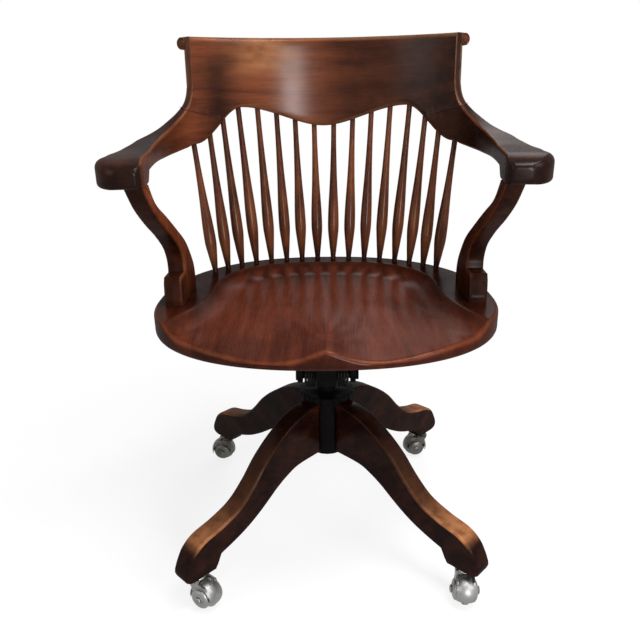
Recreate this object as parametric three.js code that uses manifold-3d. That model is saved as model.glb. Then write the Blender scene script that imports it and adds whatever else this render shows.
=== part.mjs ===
import * as THREE from "three";
import { mergeVertices } from "three/addons/utils/BufferGeometryUtils.js";
import Module from "manifold-3d";

// A bankers swivel chair: a scooped wooden seat, a bow back of turned spindles with a crest, and
// sawn arm supports, on an iron tilt and height mechanism and four sawn legs with casters.
// Millimetres, +Z up from the floor, the swivel axis on Z, the front of the chair towards -Y.

const wasm = await Module();
wasm.setup();

// Clearances
const fit = 0.3; // between pieces that touch
const overrun = 5; // how far a cutting tool runs past what it cuts
const weld = 0.001; // vertices closer than this are one

// Driving sizes of the whole chair
const seatTop = 450;
const seatThickness = 38;
const seatHalfWidth = 264;
const armTop = 681;
const crestTop = 842;
const legReach = 326;
const hubTop = 254;

const seatBottom = seatTop - seatThickness;

// Finishes
const finish = (color, roughness, metalness) =>
  new THREE.MeshStandardMaterial({ color, roughness, metalness, flatShading: true });
const seatWood = finish(0x5e2a1c, 0.35, 0);
const crestWood = finish(0x5a2f1e, 0.35, 0);
const armWood = finish(0x46251a, 0.35, 0);
const spindleWood = finish(0x6b3a22, 0.4, 0);
const legWood = finish(0x4a2719, 0.45, 0);
const blackIron = finish(0x1e1d1c, 0.55, 0.8);
const springSteel = finish(0x3a3a3a, 0.4, 0.9);
const nickel = finish(0xb9b7b2, 0.25, 1);
const brass = finish(0x8d8476, 0.4, 0.9);

// Shape helpers
const radians = THREE.MathUtils.degToRad;
const lerp = THREE.MathUtils.lerp;
const clamp = THREE.MathUtils.clamp;
const vector = (x, y, z) => new THREE.Vector3(x, y, z);

// Six times the volume that an indexed surface encloses, negative when its faces point inwards.
function signedVolume(position, index) {
  const [a, b, c] = [vector(), vector(), vector()];
  let sum = 0;
  for (let i = 0; i < index.length; i += 3) {
    a.fromBufferAttribute(position, index[i]);
    b.fromBufferAttribute(position, index[i + 1]);
    c.fromBufferAttribute(position, index[i + 2]);
    sum += a.dot(b.cross(c));
  }
  return sum;
}

// A geometry as one welded surface with no empty triangles and its faces pointing outwards.
function closed(geometry) {
  const bare = geometry.clone();
  bare.deleteAttribute("normal");
  bare.deleteAttribute("uv");
  const merged = mergeVertices(bare, weld);
  const source = merged.index.array;
  const kept = [];
  for (let i = 0; i < source.length; i += 3) {
    const [a, b, c] = source.slice(i, i + 3);
    if (a !== b && b !== c && c !== a) kept.push(a, b, c);
  }
  if (signedVolume(merged.attributes.position, kept) < 0) kept.reverse();
  merged.setIndex(kept);
  return merged;
}

function solid(geometry) {
  const shape = closed(geometry);
  const vertProperties = new Float32Array(shape.attributes.position.array);
  const triVerts = new Uint32Array(shape.index.array);
  return new wasm.Manifold(new wasm.Mesh({ numProp: 3, vertProperties, triVerts }));
}

function geometryOf(body) {
  const { vertProperties, triVerts } = body.getMesh();
  const geometry = new THREE.BufferGeometry();
  geometry.setAttribute("position", new THREE.BufferAttribute(vertProperties, 3));
  geometry.setIndex(new THREE.BufferAttribute(triVerts, 1));
  return geometry;
}

const cut = (shape, ...tools) =>
  geometryOf(tools.reduce((body, tool) => body.subtract(solid(tool)), solid(shape)));
const join = (shape, ...others) =>
  geometryOf(others.reduce((body, other) => body.add(solid(other)), solid(shape)));
const common = (shape, other) => geometryOf(solid(shape).intersect(solid(other)));
const mirrored = (geometry) => closed(geometry.clone().scale(-1, 1, 1));

// A box given by its limits along X, Y and Z.
function slab(x0, x1, y0, y1, z0, z1) {
  const box = new THREE.BoxGeometry(x1 - x0, y1 - y0, z1 - z0);
  return box.translate((x0 + x1) / 2, (y0 + y1) / 2, (z0 + z1) / 2);
}

// A solid turned about Z from a profile of [radius, height] points that closes or starts and ends
// on the axis.
function turned(profile, sides) {
  const points = profile.map(([radius, height]) => new THREE.Vector2(radius, height));
  return closed(new THREE.LatheGeometry(points, sides).rotateX(radians(90)));
}

// The same geometry with its own Z axis laid from one point towards another.
function laid(geometry, from, towards) {
  const direction = towards.clone().sub(from).normalize();
  const turn = new THREE.Quaternion().setFromUnitVectors(vector(0, 0, 1), direction);
  return geometry.applyQuaternion(turn).translate(from.x, from.y, from.z);
}

function rod(from, to, radius, sides) {
  const length = from.distanceTo(to);
  return laid(turned([[0, 0], [radius, 0], [radius, length], [0, length]], sides), from, to);
}

// An outline pushed along its own normal: the three axes say where its first and second
// coordinate and its thickness go.
function pushed(outline, thickness, bevel, across, up, along) {
  const shape = new THREE.Shape(outline.map(([u, v]) => new THREE.Vector2(u, v)));
  const geometry = new THREE.ExtrudeGeometry(shape, {
    depth: thickness - 2 * bevel,
    bevelEnabled: bevel > 0,
    bevelThickness: bevel,
    bevelSize: bevel,
    bevelOffset: -bevel,
    bevelSegments: 1,
  });
  geometry.translate(0, 0, bevel - thickness / 2);
  return closed(geometry.applyMatrix4(new THREE.Matrix4().makeBasis(across, up, along)));
}

const [axisX, axisY, axisZ] = [vector(1, 0, 0), vector(0, 1, 0), vector(0, 0, 1)];
// An outline of [y, z] points, thick along X and centred on x.
const sideBoard = (outline, x, thickness, bevel = 0) =>
  pushed(outline, thickness, bevel, axisY, axisZ, axisX).translate(x, 0, 0);
// An outline of [x, z] points, thick along Y and centred on zero.
const frontBoard = (outline, thickness, bevel = 0) =>
  pushed(outline, thickness, bevel, axisX, axisZ, vector(0, -1, 0));
// An outline of [x, y] points from one height to another.
const layer = (outline, z0, z1) =>
  pushed(outline, z1 - z0, 0, axisX, axisY, axisZ).translate(0, 0, (z0 + z1) / 2);

// Points on an arc of a circle in a plane, angles in degrees.
function arc(u, v, radius, start, end, steps) {
  return Array.from({ length: steps + 1 }, (_, i) => {
    const angle = radians(lerp(start, end, i / steps));
    return [u + radius * Math.cos(angle), v + radius * Math.sin(angle)];
  });
}

// A smooth line through points, sampled in equal steps.
function smooth(points, steps) {
  const curve = new THREE.SplineCurve(points.map(([u, v]) => new THREE.Vector2(u, v)));
  return curve.getPoints(steps).map((p) => [p.x, p.y]);
}

// The value at t of a table of [t, value] rows, along a cubic that passes through every row and
// stays level where the rows do.
function along(table, t) {
  let i = 0;
  while (i < table.length - 2 && t > table[i + 1][0]) i += 1;
  const slope = (k) => {
    const before = table[Math.max(k - 1, 0)];
    const after = table[Math.min(k + 1, table.length - 1)];
    const turns = (table[k][1] - before[1]) * (after[1] - table[k][1]) <= 0;
    return turns ? 0 : (after[1] - before[1]) / (after[0] - before[0]);
  };
  const [t0, v0] = table[i];
  const [t1, v1] = table[i + 1];
  const width = t1 - t0;
  const s = clamp((t - t0) / width, 0, 1);
  const rise = s * s * (3 - 2 * s);
  const bend0 = s * (1 - s) * (1 - s) * slope(i) * width;
  const bend1 = s * s * (s - 1) * slope(i + 1) * width;
  return lerp(v0, v1, rise) + bend0 + bend1;
}

// A solid skinned over rings of equally many points, with a flat cap at each end.
function skinned(rings) {
  const count = rings[0].length;
  const centre = (ring) =>
    ring.reduce((sum, p) => sum.add(p), vector()).divideScalar(count);
  const points = [...rings.flat(), centre(rings[0]), centre(rings[rings.length - 1])];
  const index = [];
  for (let r = 0; r < rings.length - 1; r += 1) {
    for (let k = 0; k < count; k += 1) {
      const next = (k + 1) % count;
      const [a, b] = [r * count + k, r * count + next];
      index.push(a, b, b + count, a, b + count, a + count);
    }
  }
  const last = (rings.length - 1) * count;
  for (let k = 0; k < count; k += 1) {
    const next = (k + 1) % count;
    index.push(points.length - 2, next, k);
    index.push(points.length - 1, last + k, last + next);
  }
  const geometry = new THREE.BufferGeometry().setFromPoints(points);
  geometry.setIndex(index);
  return closed(geometry);
}

function piece(name, geometry, material, parent) {
  const mesh = new THREE.Mesh(geometry, material);
  geometry.computeVertexNormals();
  mesh.name = name;
  parent.add(mesh);
  return mesh;
}

const chair = new THREE.Group();

// Casters: a domed wheel on an axle in a fork that trails behind its stem
const wheelRadius = 22.5;
const wheelHalfWidth = 10;
const wheelTopGap = 2.5;
const axleRadius = 2.5;
const axleHeadRadius = 6.5;
const axleHeadHeight = 2.6;
const casterTrail = 13;
const forkArmThickness = 4;
const forkArmGap = 0.6;
const forkBossRadius = 16.5;
const forkBossHeight = 6;
const forkCrownRadius = 10;
const forkCrownThickness = 6.9;
const stemRadius = 4;
const stemLength = 32;
const socketWall = 1.7;
const socketFlangeRadius = 12;
const socketFlangeThickness = 2;
const wheelSides = 12;
const smallSides = 12;

const crownBottom = 2 * wheelRadius + wheelTopGap;
const crownTop = crownBottom + forkCrownThickness;
const flangeBottom = crownTop + fit;
const flangeTop = flangeBottom + socketFlangeThickness;
const legFoot = flangeTop + fit;
const forkArmInner = wheelHalfWidth + forkArmGap;
const forkArmOuter = forkArmInner + forkArmThickness;
const socketRadius = stemRadius + fit + socketWall;
const stemTop = flangeTop + stemLength;

// Half of the wheel's section from the bore to the rim: shares of its radius and half width.
const wheelDomeShares = [[0.4, 1], [0.71, 0.9], [0.91, 0.55], [1, 0.38]];

function casterWheel() {
  const bore = axleRadius + fit;
  const dome = wheelDomeShares.map(([r, w]) => [r * wheelRadius, w * wheelHalfWidth]);
  const far = dome.map(([r, w]) => [r, -w]).reverse();
  const top = [bore, wheelHalfWidth];
  return turned([top, ...dome, ...far, [bore, -wheelHalfWidth], top], wheelSides).rotateX(radians(90));
}

function casterAxle() {
  const reach = forkArmOuter + forkBossHeight + fit;
  const tip = reach + axleHeadHeight;
  const crown = axleHeadRadius / 2;
  const profile = [
    [0, -tip], [crown, -tip], [axleHeadRadius, -reach], [axleRadius, -reach],
    [axleRadius, reach], [axleHeadRadius, reach], [crown, tip], [0, tip],
  ];
  return turned(profile, smallSides).rotateX(radians(90));
}

function casterFork() {
  const armOutline = [
    [-forkCrownRadius, crownBottom],
    ...arc(casterTrail, wheelRadius, forkBossRadius, 190, 390, 8),
    [casterTrail + forkCrownRadius, crownBottom],
    [casterTrail, crownTop],
    [-forkCrownRadius, crownTop],
  ];
  const arm = frontBoard(armOutline, forkArmThickness);
  const middle = (forkArmInner + forkArmOuter) / 2;
  const bridge = slab(
    -forkCrownRadius, casterTrail, -forkArmOuter, forkArmOuter, crownBottom, crownTop,
  );
  const stem = rod(vector(0, 0, crownBottom), vector(0, 0, stemTop), stemRadius, smallSides);
  const bossTip = forkArmOuter + forkBossHeight;
  const boss = (side) => {
    const profile = [
      [0, middle], [forkBossRadius, middle], [forkBossRadius, forkArmOuter],
      [axleHeadRadius, bossTip], [0, bossTip],
    ];
    const dome = turned(profile, wheelSides).rotateX(radians(-90 * side));
    return dome.translate(casterTrail, 0, wheelRadius);
  };
  const arms = [arm.clone().translate(0, middle, 0), arm.translate(0, -middle, 0)];
  const body = join(bridge, ...arms, boss(1), boss(-1), stem);
  const reach = bossTip + overrun;
  const from = vector(casterTrail, -reach, wheelRadius);
  const to = vector(casterTrail, reach, wheelRadius);
  return cut(body, rod(from, to, axleRadius + fit, smallSides));
}

function casterSocket() {
  const bore = stemRadius + fit;
  return turned([
    [bore, flangeBottom], [socketFlangeRadius, flangeBottom], [socketFlangeRadius, flangeTop],
    [socketRadius, flangeTop], [socketRadius, stemTop + fit], [bore, stemTop + fit],
    [bore, flangeBottom],
  ], smallSides);
}

// Base: a cast hub with four slots, and four sawn legs whose tongues slide into them
const baseTurn = 1.5; // degrees that the base stands turned under the seat
const hubBottom = 158;
const hubRadius = 36;
const legThickness = 34;
const legEdge = 3;
const tongueThickness = 12;
const tongueDepth = 11;
const tongueShoulder = 9;
const screwRadius = 12.7;
const screwPlay = 1;
const capRadius = 33;
const capThickness = 4;
const capSpigotRadius = 19;
const capSpigotDepth = 8;
const casterSetback = 32;
const roundSides = 20;
const hubSides = 32;

const hubBore = screwRadius + screwPlay;

// The leg's outline as shares of its reach and of its height from foot to shoulder.
const legTopShares = [
  [0.06, 1], [0.19, 0.99], [0.29, 0.94], [0.395, 0.838], [0.49, 0.71], [0.575, 0.555],
  [0.665, 0.43], [0.775, 0.36], [0.882, 0.318], [0.945, 0.25], [0.98, 0.16], [0.998, 0.09],
];
const legToeShares = [
  [1, 0.06], [0.993, 0.028], [0.978, 0.008], [0.955, 0], [0.829, 0], [0.812, 0.04],
];
const legUnderShares = [
  [0.79, 0.112], [0.7, 0.157], [0.617, 0.21], [0.538, 0.28], [0.475, 0.347], [0.418, 0.41],
  [0.348, 0.47], [0.266, 0.513], [0.06, 0.524],
];

function leg() {
  const height = hubTop - legFoot;
  const place = ([r, z]) => [r * legReach, legFoot + z * height];
  const outline = [
    ...smooth(legTopShares.map(place), 17),
    ...legToeShares.map(place),
    ...smooth(legUnderShares.map(place), 10),
  ];
  const board = frontBoard(outline, legThickness, legEdge);
  const hubSeat = hubRadius + fit;
  const hubClear = rod(
    vector(0, 0, hubBottom - overrun), vector(0, 0, hubTop + overrun), hubSeat, 2 * hubSides,
  );
  const half = tongueThickness / 2;
  const tongue = slab(
    hubRadius - tongueDepth, hubRadius + tongueShoulder, -half, half,
    hubBottom + tongueShoulder, hubTop - tongueShoulder,
  );
  const bore = socketRadius + fit;
  const stemAt = legReach - casterSetback;
  const socketHole = rod(
    vector(stemAt, 0, legFoot - overrun), vector(stemAt, 0, stemTop + 2 * fit), bore, smallSides,
  );
  return cut(join(cut(board, hubClear), tongue), socketHole);
}

function hub() {
  const profile = [
    [capSpigotRadius + fit, hubBottom], [hubRadius, hubBottom], [hubRadius, hubTop],
    [hubBore, hubTop], [hubBore, hubBottom + capSpigotDepth + fit],
    [capSpigotRadius + fit, hubBottom + capSpigotDepth + fit],
    [capSpigotRadius + fit, hubBottom],
  ];
  const half = tongueThickness / 2 + fit;
  const slots = [0, 1, 2, 3].map((i) =>
    slab(
      hubRadius - tongueDepth - fit, hubRadius + overrun, -half, half,
      hubBottom - overrun, hubTop - tongueShoulder + fit,
    ).rotateZ(radians(45 + 90 * i)),
  );
  return cut(turned(profile, hubSides), ...slots);
}

function hubCap() {
  const top = hubBottom - fit;
  return turned([
    [hubBore, top - capThickness], [capRadius, top - capThickness], [capRadius, top],
    [capSpigotRadius, top], [capSpigotRadius, hubBottom + capSpigotDepth],
    [hubBore, hubBottom + capSpigotDepth], [hubBore, top - capThickness],
  ], roundSides);
}

const base = new THREE.Group();
base.rotation.z = radians(baseTurn);
chair.add(base);
piece("hub", hub(), blackIron, base);
piece("hub_cap", hubCap(), blackIron, base);

// Each leg's angle from +X in the base, and the way that its caster trails, from +X in the room.
const corners = [
  { name: "front_left", angle: 225, trail: 330 },
  { name: "front_right", angle: 315, trail: 265 },
  { name: "rear_right", angle: 45, trail: 185 },
  { name: "rear_left", angle: 135, trail: 175 },
];
for (const { name, angle, trail } of corners) {
  const arm = new THREE.Group();
  arm.rotation.z = radians(angle);
  base.add(arm);
  piece("leg_" + name, leg(), legWood, arm);
  const caster = new THREE.Group();
  caster.position.x = legReach - casterSetback;
  arm.add(caster);
  piece("caster_socket_" + name, casterSocket(), brass, caster);
  const swivel = new THREE.Group();
  swivel.rotation.z = radians(trail - angle - baseTurn);
  caster.add(swivel);
  piece("caster_fork_" + name, casterFork(), nickel, swivel);
  const wheelPlace = new THREE.Group();
  wheelPlace.position.set(casterTrail, 0, wheelRadius);
  swivel.add(wheelPlace);
  piece("caster_wheel_" + name, casterWheel(), nickel, wheelPlace);
  piece("caster_axle_" + name, casterAxle(), nickel, wheelPlace);
}

// Height screw: it hangs in a nut that turns on a washer on the hub
const washerThickness = 3;
const washerRadius = 32;
const nutThickness = 10;
const nutRadius = 48;
const nutGroove = 2.5;
const nutGrooves = 22;
const yokeGap = 1;
const screwLength = 113;
const threadPitch = 6.35;
const threadDepth = 1.8;
const screwSides = 10;

const washerBottom = hubTop + fit;
const nutBottom = washerBottom + washerThickness + fit;
const nutTop = nutBottom + nutThickness;
const yokeBottom = nutTop + yokeGap;

function ringOf(inner, outer, z0, z1, sides) {
  return turned([[inner, z0], [outer, z0], [outer, z1], [inner, z1], [inner, z0]], sides);
}

function heightNut() {
  const steps = 2 * nutGrooves;
  const rim = Array.from({ length: steps }, (_, i) => {
    const radius = nutRadius - (i % 2) * nutGroove;
    const angle = radians((360 * i) / steps);
    return [radius * Math.cos(angle), radius * Math.sin(angle)];
  });
  const from = vector(0, 0, nutBottom - overrun);
  const to = vector(0, 0, nutTop + overrun);
  return cut(layer(rim, nutBottom, nutTop), rod(from, to, screwRadius + fit, smallSides * 2));
}

const washerTop = washerBottom + washerThickness;
piece("thrust_washer", ringOf(hubBore, washerRadius, washerBottom, washerTop, roundSides), brass, chair);
piece("height_nut", heightNut(), blackIron, chair);

// Tilt mechanism: a yoke pinned to the screw carries a cross shaft with two torsion springs
const shaftRise = 24.4;
const shaftRadius = 7;
const shaftWall = 1.7;
const yokeBossRadius = 19;
const barrelRadius = 14;
const barrelHalfWidth = 15;
const hornHalfWidth = 17;
const hornThickness = 11;
const hornRise = 92;
const pinRadius = 3;
const pinRise = 9;
const wireRadius = 2;
const coilRadius = 20;
const coilTurns = 4;
const coilPitch = 4.9;
const coilSideGap = 1.2;
const lugThickness = 7;
const lugOverlap = 1.8;
const railGap = 1.3;
const railThickness = 9;
const railEyeRadius = 14;
const railHalfLength = 130;
const railPadWidth = 16;
const railPadLength = 30;
const railPadThickness = 6;
const shaftHeadRadius = 10;
const shaftHeadThickness = 2.6;
const shaftNutThickness = 4.5;
const stopBarWidth = 9;
const stopBarDrop = 8;
const stopBarHeight = 16;
const woodScrewRadius = 2.5;
const woodScrewHeadRadius = 5.5;
const woodScrewHeadHeight = 3.6;
const woodScrewLength = 18;

const shaftHeight = yokeBottom + shaftRise;
const screwTop = shaftHeight - shaftRadius - shaftWall;
const screwBottom = screwTop - screwLength;
const pinHeight = yokeBottom + pinRise;
const hornBack = -(coilRadius + wireRadius + railGap);
const hornFront = hornBack - hornThickness;
const coilStart = barrelHalfWidth + coilSideGap + wireRadius;
const coilEnd = coilStart + coilTurns * coilPitch;
const railInner = coilEnd + wireRadius + railGap;
const railOuter = railInner + railThickness;
const tang = 2 * wireRadius;
const shaftReach = railOuter + fit;
const padInnerY = railHalfLength - railPadLength;
const woodScrewX = railOuter + railPadWidth / 2;
const woodScrewY = railHalfLength - railPadLength / 2;
const railTop = seatBottom - fit;

function heightScrew() {
  const turns = Math.floor((screwLength - 2 * threadPitch) / threadPitch);
  const thread = [];
  for (let i = 0; i < turns; i += 1) {
    const z = screwBottom + threadPitch * (i + 1 / 2);
    thread.push([screwRadius - threadDepth, z], [screwRadius, z + threadPitch / 2]);
  }
  const profile = [
    [0, screwBottom], [screwRadius - threadDepth, screwBottom], ...thread,
    [screwRadius, screwTop], [0, screwTop],
  ];
  const reach = screwRadius + overrun;
  const pinHole = rod(vector(0, -reach, pinHeight), vector(0, reach, pinHeight), pinRadius + fit, smallSides);
  return cut(turned(profile, screwSides), pinHole);
}

function yoke() {
  const boss = rod(vector(0, 0, yokeBottom), vector(0, 0, shaftHeight), yokeBossRadius, roundSides);
  const wide = slab(
    -barrelHalfWidth, barrelHalfWidth, -yokeBossRadius, yokeBossRadius, yokeBottom, shaftHeight,
  );
  const barrel = rod(
    vector(-barrelHalfWidth, 0, shaftHeight), vector(barrelHalfWidth, 0, shaftHeight),
    barrelRadius, roundSides,
  );
  const hornTop = shaftHeight + hornRise;
  const hornRoot = shaftHeight - barrelRadius / 2;
  const horn = sideBoard([
    [0, yokeBottom], [hornFront, hornRoot], [hornFront, hornTop], [hornBack, hornTop],
    [hornBack, shaftHeight + barrelRadius], [0, shaftHeight + barrelRadius / 2],
  ], 0, 2 * hornHalfWidth);
  const hornClear = (side) =>
    slab(
      side > 0 ? barrelHalfWidth : -hornHalfWidth - overrun,
      side > 0 ? hornHalfWidth + overrun : -barrelHalfWidth,
      hornBack, overrun, yokeBottom - overrun, shaftHeight + coilRadius + wireRadius + overrun,
    );
  const lug = (side) => {
    const tip = coilStart + lugOverlap;
    return slab(
      side > 0 ? 0 : -tip, side > 0 ? tip : 0,
      barrelRadius / 2, coilRadius + wireRadius,
      shaftHeight - tang - fit - lugThickness, shaftHeight - tang - fit,
    );
  };
  const hornBody = cut(horn, hornClear(1), hornClear(-1));
  const body = join(common(boss, wide), barrel, hornBody, lug(1), lug(-1));
  const reach = barrelHalfWidth + yokeBossRadius;
  return cut(
    body,
    rod(vector(-reach, 0, shaftHeight), vector(reach, 0, shaftHeight), shaftRadius + fit, smallSides),
    rod(vector(0, 0, yokeBottom - overrun), vector(0, 0, screwTop + fit), screwRadius + fit, smallSides * 2),
    rod(vector(0, -reach, pinHeight), vector(0, reach, pinHeight), pinRadius + fit, smallSides),
  );
}

// The right spring: a helix about the shaft with a straight tang at each end. Its centre line
// climbs one pitch along X for each turn about X.
const curlSteps = 8;
const wireSides = 5;

function springLine() {
  const line = [];
  const steps = coilTurns * curlSteps;
  for (let i = 0; i <= steps; i += 1) {
    const angle = (2 * Math.PI * i) / curlSteps;
    const x = coilStart + (coilPitch * i) / curlSteps;
    const out = vector(0, Math.cos(angle), Math.sin(angle));
    line.push({ at: out.clone().multiplyScalar(coilRadius).setX(x), out });
  }
  const tangEnd = ({ at, out }, drop) => ({ at: at.clone().setZ(at.z + drop), out });
  return [tangEnd(line[0], -tang), ...line, tangEnd(line[line.length - 1], tang)];
}

function spring() {
  const line = springLine();
  const rings = line.map(({ at, out }) =>
    Array.from({ length: wireSides }, (_, k) => {
      const angle = (2 * Math.PI * k) / wireSides;
      const radial = out.clone().multiplyScalar(wireRadius * Math.cos(angle));
      return at.clone().add(radial).add(axisX.clone().multiplyScalar(wireRadius * Math.sin(angle)));
    }),
  );
  return skinned(rings).translate(0, 0, shaftHeight);
}

// The least gap from the wire to itself, between points more than half a turn apart.
function leastSelfGap() {
  const line = springLine().map(({ at }) => at);
  let least = Infinity;
  line.forEach((a, i) =>
    line.slice(i + curlSteps / 2 + 1).forEach((b) => {
      least = Math.min(least, a.distanceTo(b) - 2 * wireRadius);
    }),
  );
  return least;
}
console.log("least self-gap of a tilt spring: " + leastSelfGap().toFixed(2) + " mm");

// The right seat rail: a cast bar that hangs in a U from its two pads and carries the eye on the
// shaft. Its lower and upper edges are shares of the half length and of the drop to the shaft.
const railLowerShares = [[1, 0.075], [0.72, 0.17], [0.45, 0.42], [0.25, 0.73], [0.13, 0.96]];
const railUpperShares = [[0.8, 0], [0.6, 0.11], [0.36, 0.35], [0.16, 0.66], [0, 0.77]];

function seatRail() {
  const place = ([y, z]) => [y * railHalfLength, lerp(railTop, shaftHeight, z)];
  const flip = ([y, z]) => [-y, z];
  const lower = smooth(railLowerShares.map(place), 8);
  const upper = smooth(railUpperShares.map(place), 8);
  const outline = [
    [-railHalfLength, railTop],
    ...lower.map(flip),
    ...arc(0, shaftHeight, railEyeRadius, 190, 350, 8),
    ...[...lower].reverse(),
    [railHalfLength, railTop],
    ...upper,
    ...upper.slice(0, -1).map(flip).reverse(),
  ];
  const middle = (railInner + railOuter) / 2;
  const web = sideBoard(outline, middle, railThickness);
  const pad = (y0, y1) =>
    slab(railInner, railOuter + railPadWidth, y0, y1, railTop - railPadThickness, railTop);
  const lug = slab(
    coilEnd - lugOverlap, railOuter, railEyeRadius / 2, coilRadius + wireRadius,
    shaftHeight + tang + fit, shaftHeight + tang + fit + lugThickness,
  );
  const hole = (y) =>
    rod(
      vector(woodScrewX, y, railTop - railPadThickness - overrun),
      vector(woodScrewX, y, railTop + overrun), woodScrewRadius + fit, smallSides,
    );
  const shaftHole = rod(
    vector(railInner - overrun, 0, shaftHeight), vector(railOuter + overrun, 0, shaftHeight),
    shaftRadius + fit, smallSides,
  );
  const eye = rod(
    vector(railInner, 0, shaftHeight), vector(railOuter, 0, shaftHeight), railEyeRadius, roundSides,
  );
  const body = join(
    web, eye, pad(-railHalfLength, -padInnerY), pad(padInnerY, railHalfLength), lug,
  );
  return cut(body, hole(woodScrewY), hole(-woodScrewY), shaftHole);
}

function tiltShaft() {
  const headEnd = -shaftReach - shaftHeadThickness;
  const tail = shaftReach + fit + shaftNutThickness + fit;
  const profile = [
    [0, headEnd], [shaftHeadRadius, headEnd], [shaftHeadRadius, -shaftReach],
    [shaftRadius, -shaftReach], [shaftRadius, tail], [0, tail],
  ];
  return turned(profile, smallSides).rotateY(radians(90)).translate(0, 0, shaftHeight);
}

function shaftNut() {
  const far = shaftReach + fit + shaftNutThickness;
  const hexagon = layer(arc(0, 0, shaftHeadRadius, 0, 300, 5), shaftReach + fit, far);
  const bore = ringOf(0, shaftRadius + fit, shaftReach - overrun, far + overrun, roundSides);
  return cut(hexagon, bore).rotateY(radians(90)).translate(0, 0, shaftHeight);
}

function woodScrew() {
  const padBottom = railTop - railPadThickness;
  const head = padBottom - fit;
  return turned([
    [0, head - woodScrewHeadHeight], [woodScrewHeadRadius / 2, head - woodScrewHeadHeight],
    [woodScrewHeadRadius, head], [woodScrewRadius, head],
    [woodScrewRadius, seatBottom + woodScrewLength / 2], [0, seatBottom + woodScrewLength],
  ], smallSides);
}

piece("height_screw", heightScrew(), springSteel, chair);
piece("yoke", yoke(), blackIron, chair);
piece("yoke_pin", rod(
  vector(0, -yokeBossRadius, pinHeight), vector(0, yokeBossRadius, pinHeight), pinRadius, smallSides,
), springSteel, chair);
piece("tilt_shaft", tiltShaft(), springSteel, chair);
piece("shaft_nut", shaftNut(), blackIron, chair);
piece("tilt_spring_right", spring(), springSteel, chair);
piece("tilt_spring_left", mirrored(spring()), springSteel, chair);
piece("seat_rail_right", seatRail(), blackIron, chair);
piece("seat_rail_left", mirrored(seatRail()), blackIron, chair);
const stopBarTop = shaftHeight + hornRise - stopBarDrop;
piece("stop_bar", slab(
  -railInner + fit, railInner - fit, hornBack + fit, hornBack + fit + stopBarWidth,
  stopBarTop - stopBarHeight, stopBarTop,
), blackIron, chair);
const screwPlaces = [
  ["front_left", -1, -1],
  ["front_right", 1, -1],
  ["rear_right", 1, 1],
  ["rear_left", -1, 1],
];
for (const [name, sideX, sideY] of screwPlaces) {
  const screw = piece("rail_screw_" + name, woodScrew(), springSteel, chair);
  screw.position.set(sideX * woodScrewX, sideY * woodScrewY, 0);
}

// Bow: the crest panel and the two arms follow one plan line, whose inner face is an arc behind
// the sitter and a curve along each arm
const bowBackY = 218;
const bowArcRadius = 339;
const crestInset = 45; // of the crest's end from the seat's side
const armTipInset = 39; // of the arm's inner edge from the seat's side
const armTipY = -208;
const armTipInturn = 7; // degrees that the arm's inner edge turns in at its front end
const armFirstPull = 85;
const armLastPull = 165;
const crestThickness = 22;
const armWidth = 65;
const armMiddleWidth = 42;
const armEndThickness = 36;
const armThickness = 25;
const armRootDrop = 11; // of the bow's lower edge below the arms' tops, at the crest's end
const crestArchDepth = 114; // of the lower edge's high points below the crest's top
const crestArchInset = 74; // of those points from the crest's end
const crestCentreDepth = 149;
const sweepTopShare = 0.565; // of the rise from the arms to the crest's top
const sweepStep = 1.5;
const crestLean = 0.03; // how far the crest leans back for each millimetre that it rises
const crestTopRound = 12;
const armTopRound = 14;
const armInnerRound = 5;
const bowBottomRound = 6;
const beadRadius = 10;
const beadOut = 4;
const armTipOuterRound = 38;
const armTipInnerRound = 9;
const seamInset = 43; // of the glue seam's inner end from the crest's end
const seamInnerRise = 29; // of the seam above the arms' tops
const seamOuterRise = 42;
const crestSteps = 18;
const armSteps = 13;
const armStepShare = 1.7; // a power: stations lie closer together towards the crest's end

const crestHalfWidth = seatHalfWidth - crestInset;
const armTipX = seatHalfWidth - armTipInset;
const armEndBottom = armTop - armEndThickness;
const armUnderside = armTop - armThickness;
const crestEndLow = armTop - armRootDrop;
const crestArchHigh = crestTop - crestArchDepth;
const crestArchX = crestHalfWidth - crestArchInset;
const crestCentreLow = crestTop - crestCentreDepth;
const sweepTop = lerp(armTop, crestTop, sweepTopShare);
const seamX = crestHalfWidth - seamInset;
const seamInnerHeight = armTop + seamInnerRise;
const seamOuterHeight = armTop + seamOuterRise;
const arcCentreY = bowBackY - bowArcRadius;
const crestEndAngle = Math.asin(crestHalfWidth / bowArcRadius);
const crestEnd = vector(crestHalfWidth, arcCentreY + bowArcRadius * Math.cos(crestEndAngle), 0);
const armCurve = new THREE.CubicBezierCurve3(
  crestEnd,
  vector(Math.cos(crestEndAngle), -Math.sin(crestEndAngle), 0).multiplyScalar(armFirstPull).add(crestEnd),
  vector(Math.sin(radians(armTipInturn)), Math.cos(radians(armTipInturn)), 0)
    .multiplyScalar(armLastPull)
    .add(vector(armTipX, armTipY, 0)),
  vector(armTipX, armTipY, 0),
);
const armLength = armCurve.getLength();

// Along the arm, from the crest's end at 0 to the tip at 1: how much of the sweep is left in the
// top edge, how much of the rise is left in the lower edge, and the share of the arm's width.
const sweepShares = [
  [0, 1], [0.012, 0.82], [0.03, 0.67], [0.06, 0.55], [0.13, 0.39], [0.25, 0.22], [0.42, 0.1],
  [0.6, 0.035], [0.74, 0], [1, 0],
];
const underShares = [[0, 1], [0.08, 0.62], [0.2, 0.25], [0.4, 0], [1, 0]];
const widthShares = [
  [0, 0], [0.25, 0.3], [0.5, 1], [1, 1],
];
const tipWidthShares = [[0, 0], [0.5, 0], [0.75, 0.5], [0.9, 0.9], [1, 1]];
const armEndBlockShares = [0.8, 0.87]; // the underside steps down to the arm's end between these

const smoothStep = (t) => {
  const s = clamp(t, 0, 1);
  return s * s * (3 - 2 * s);
};

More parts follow.
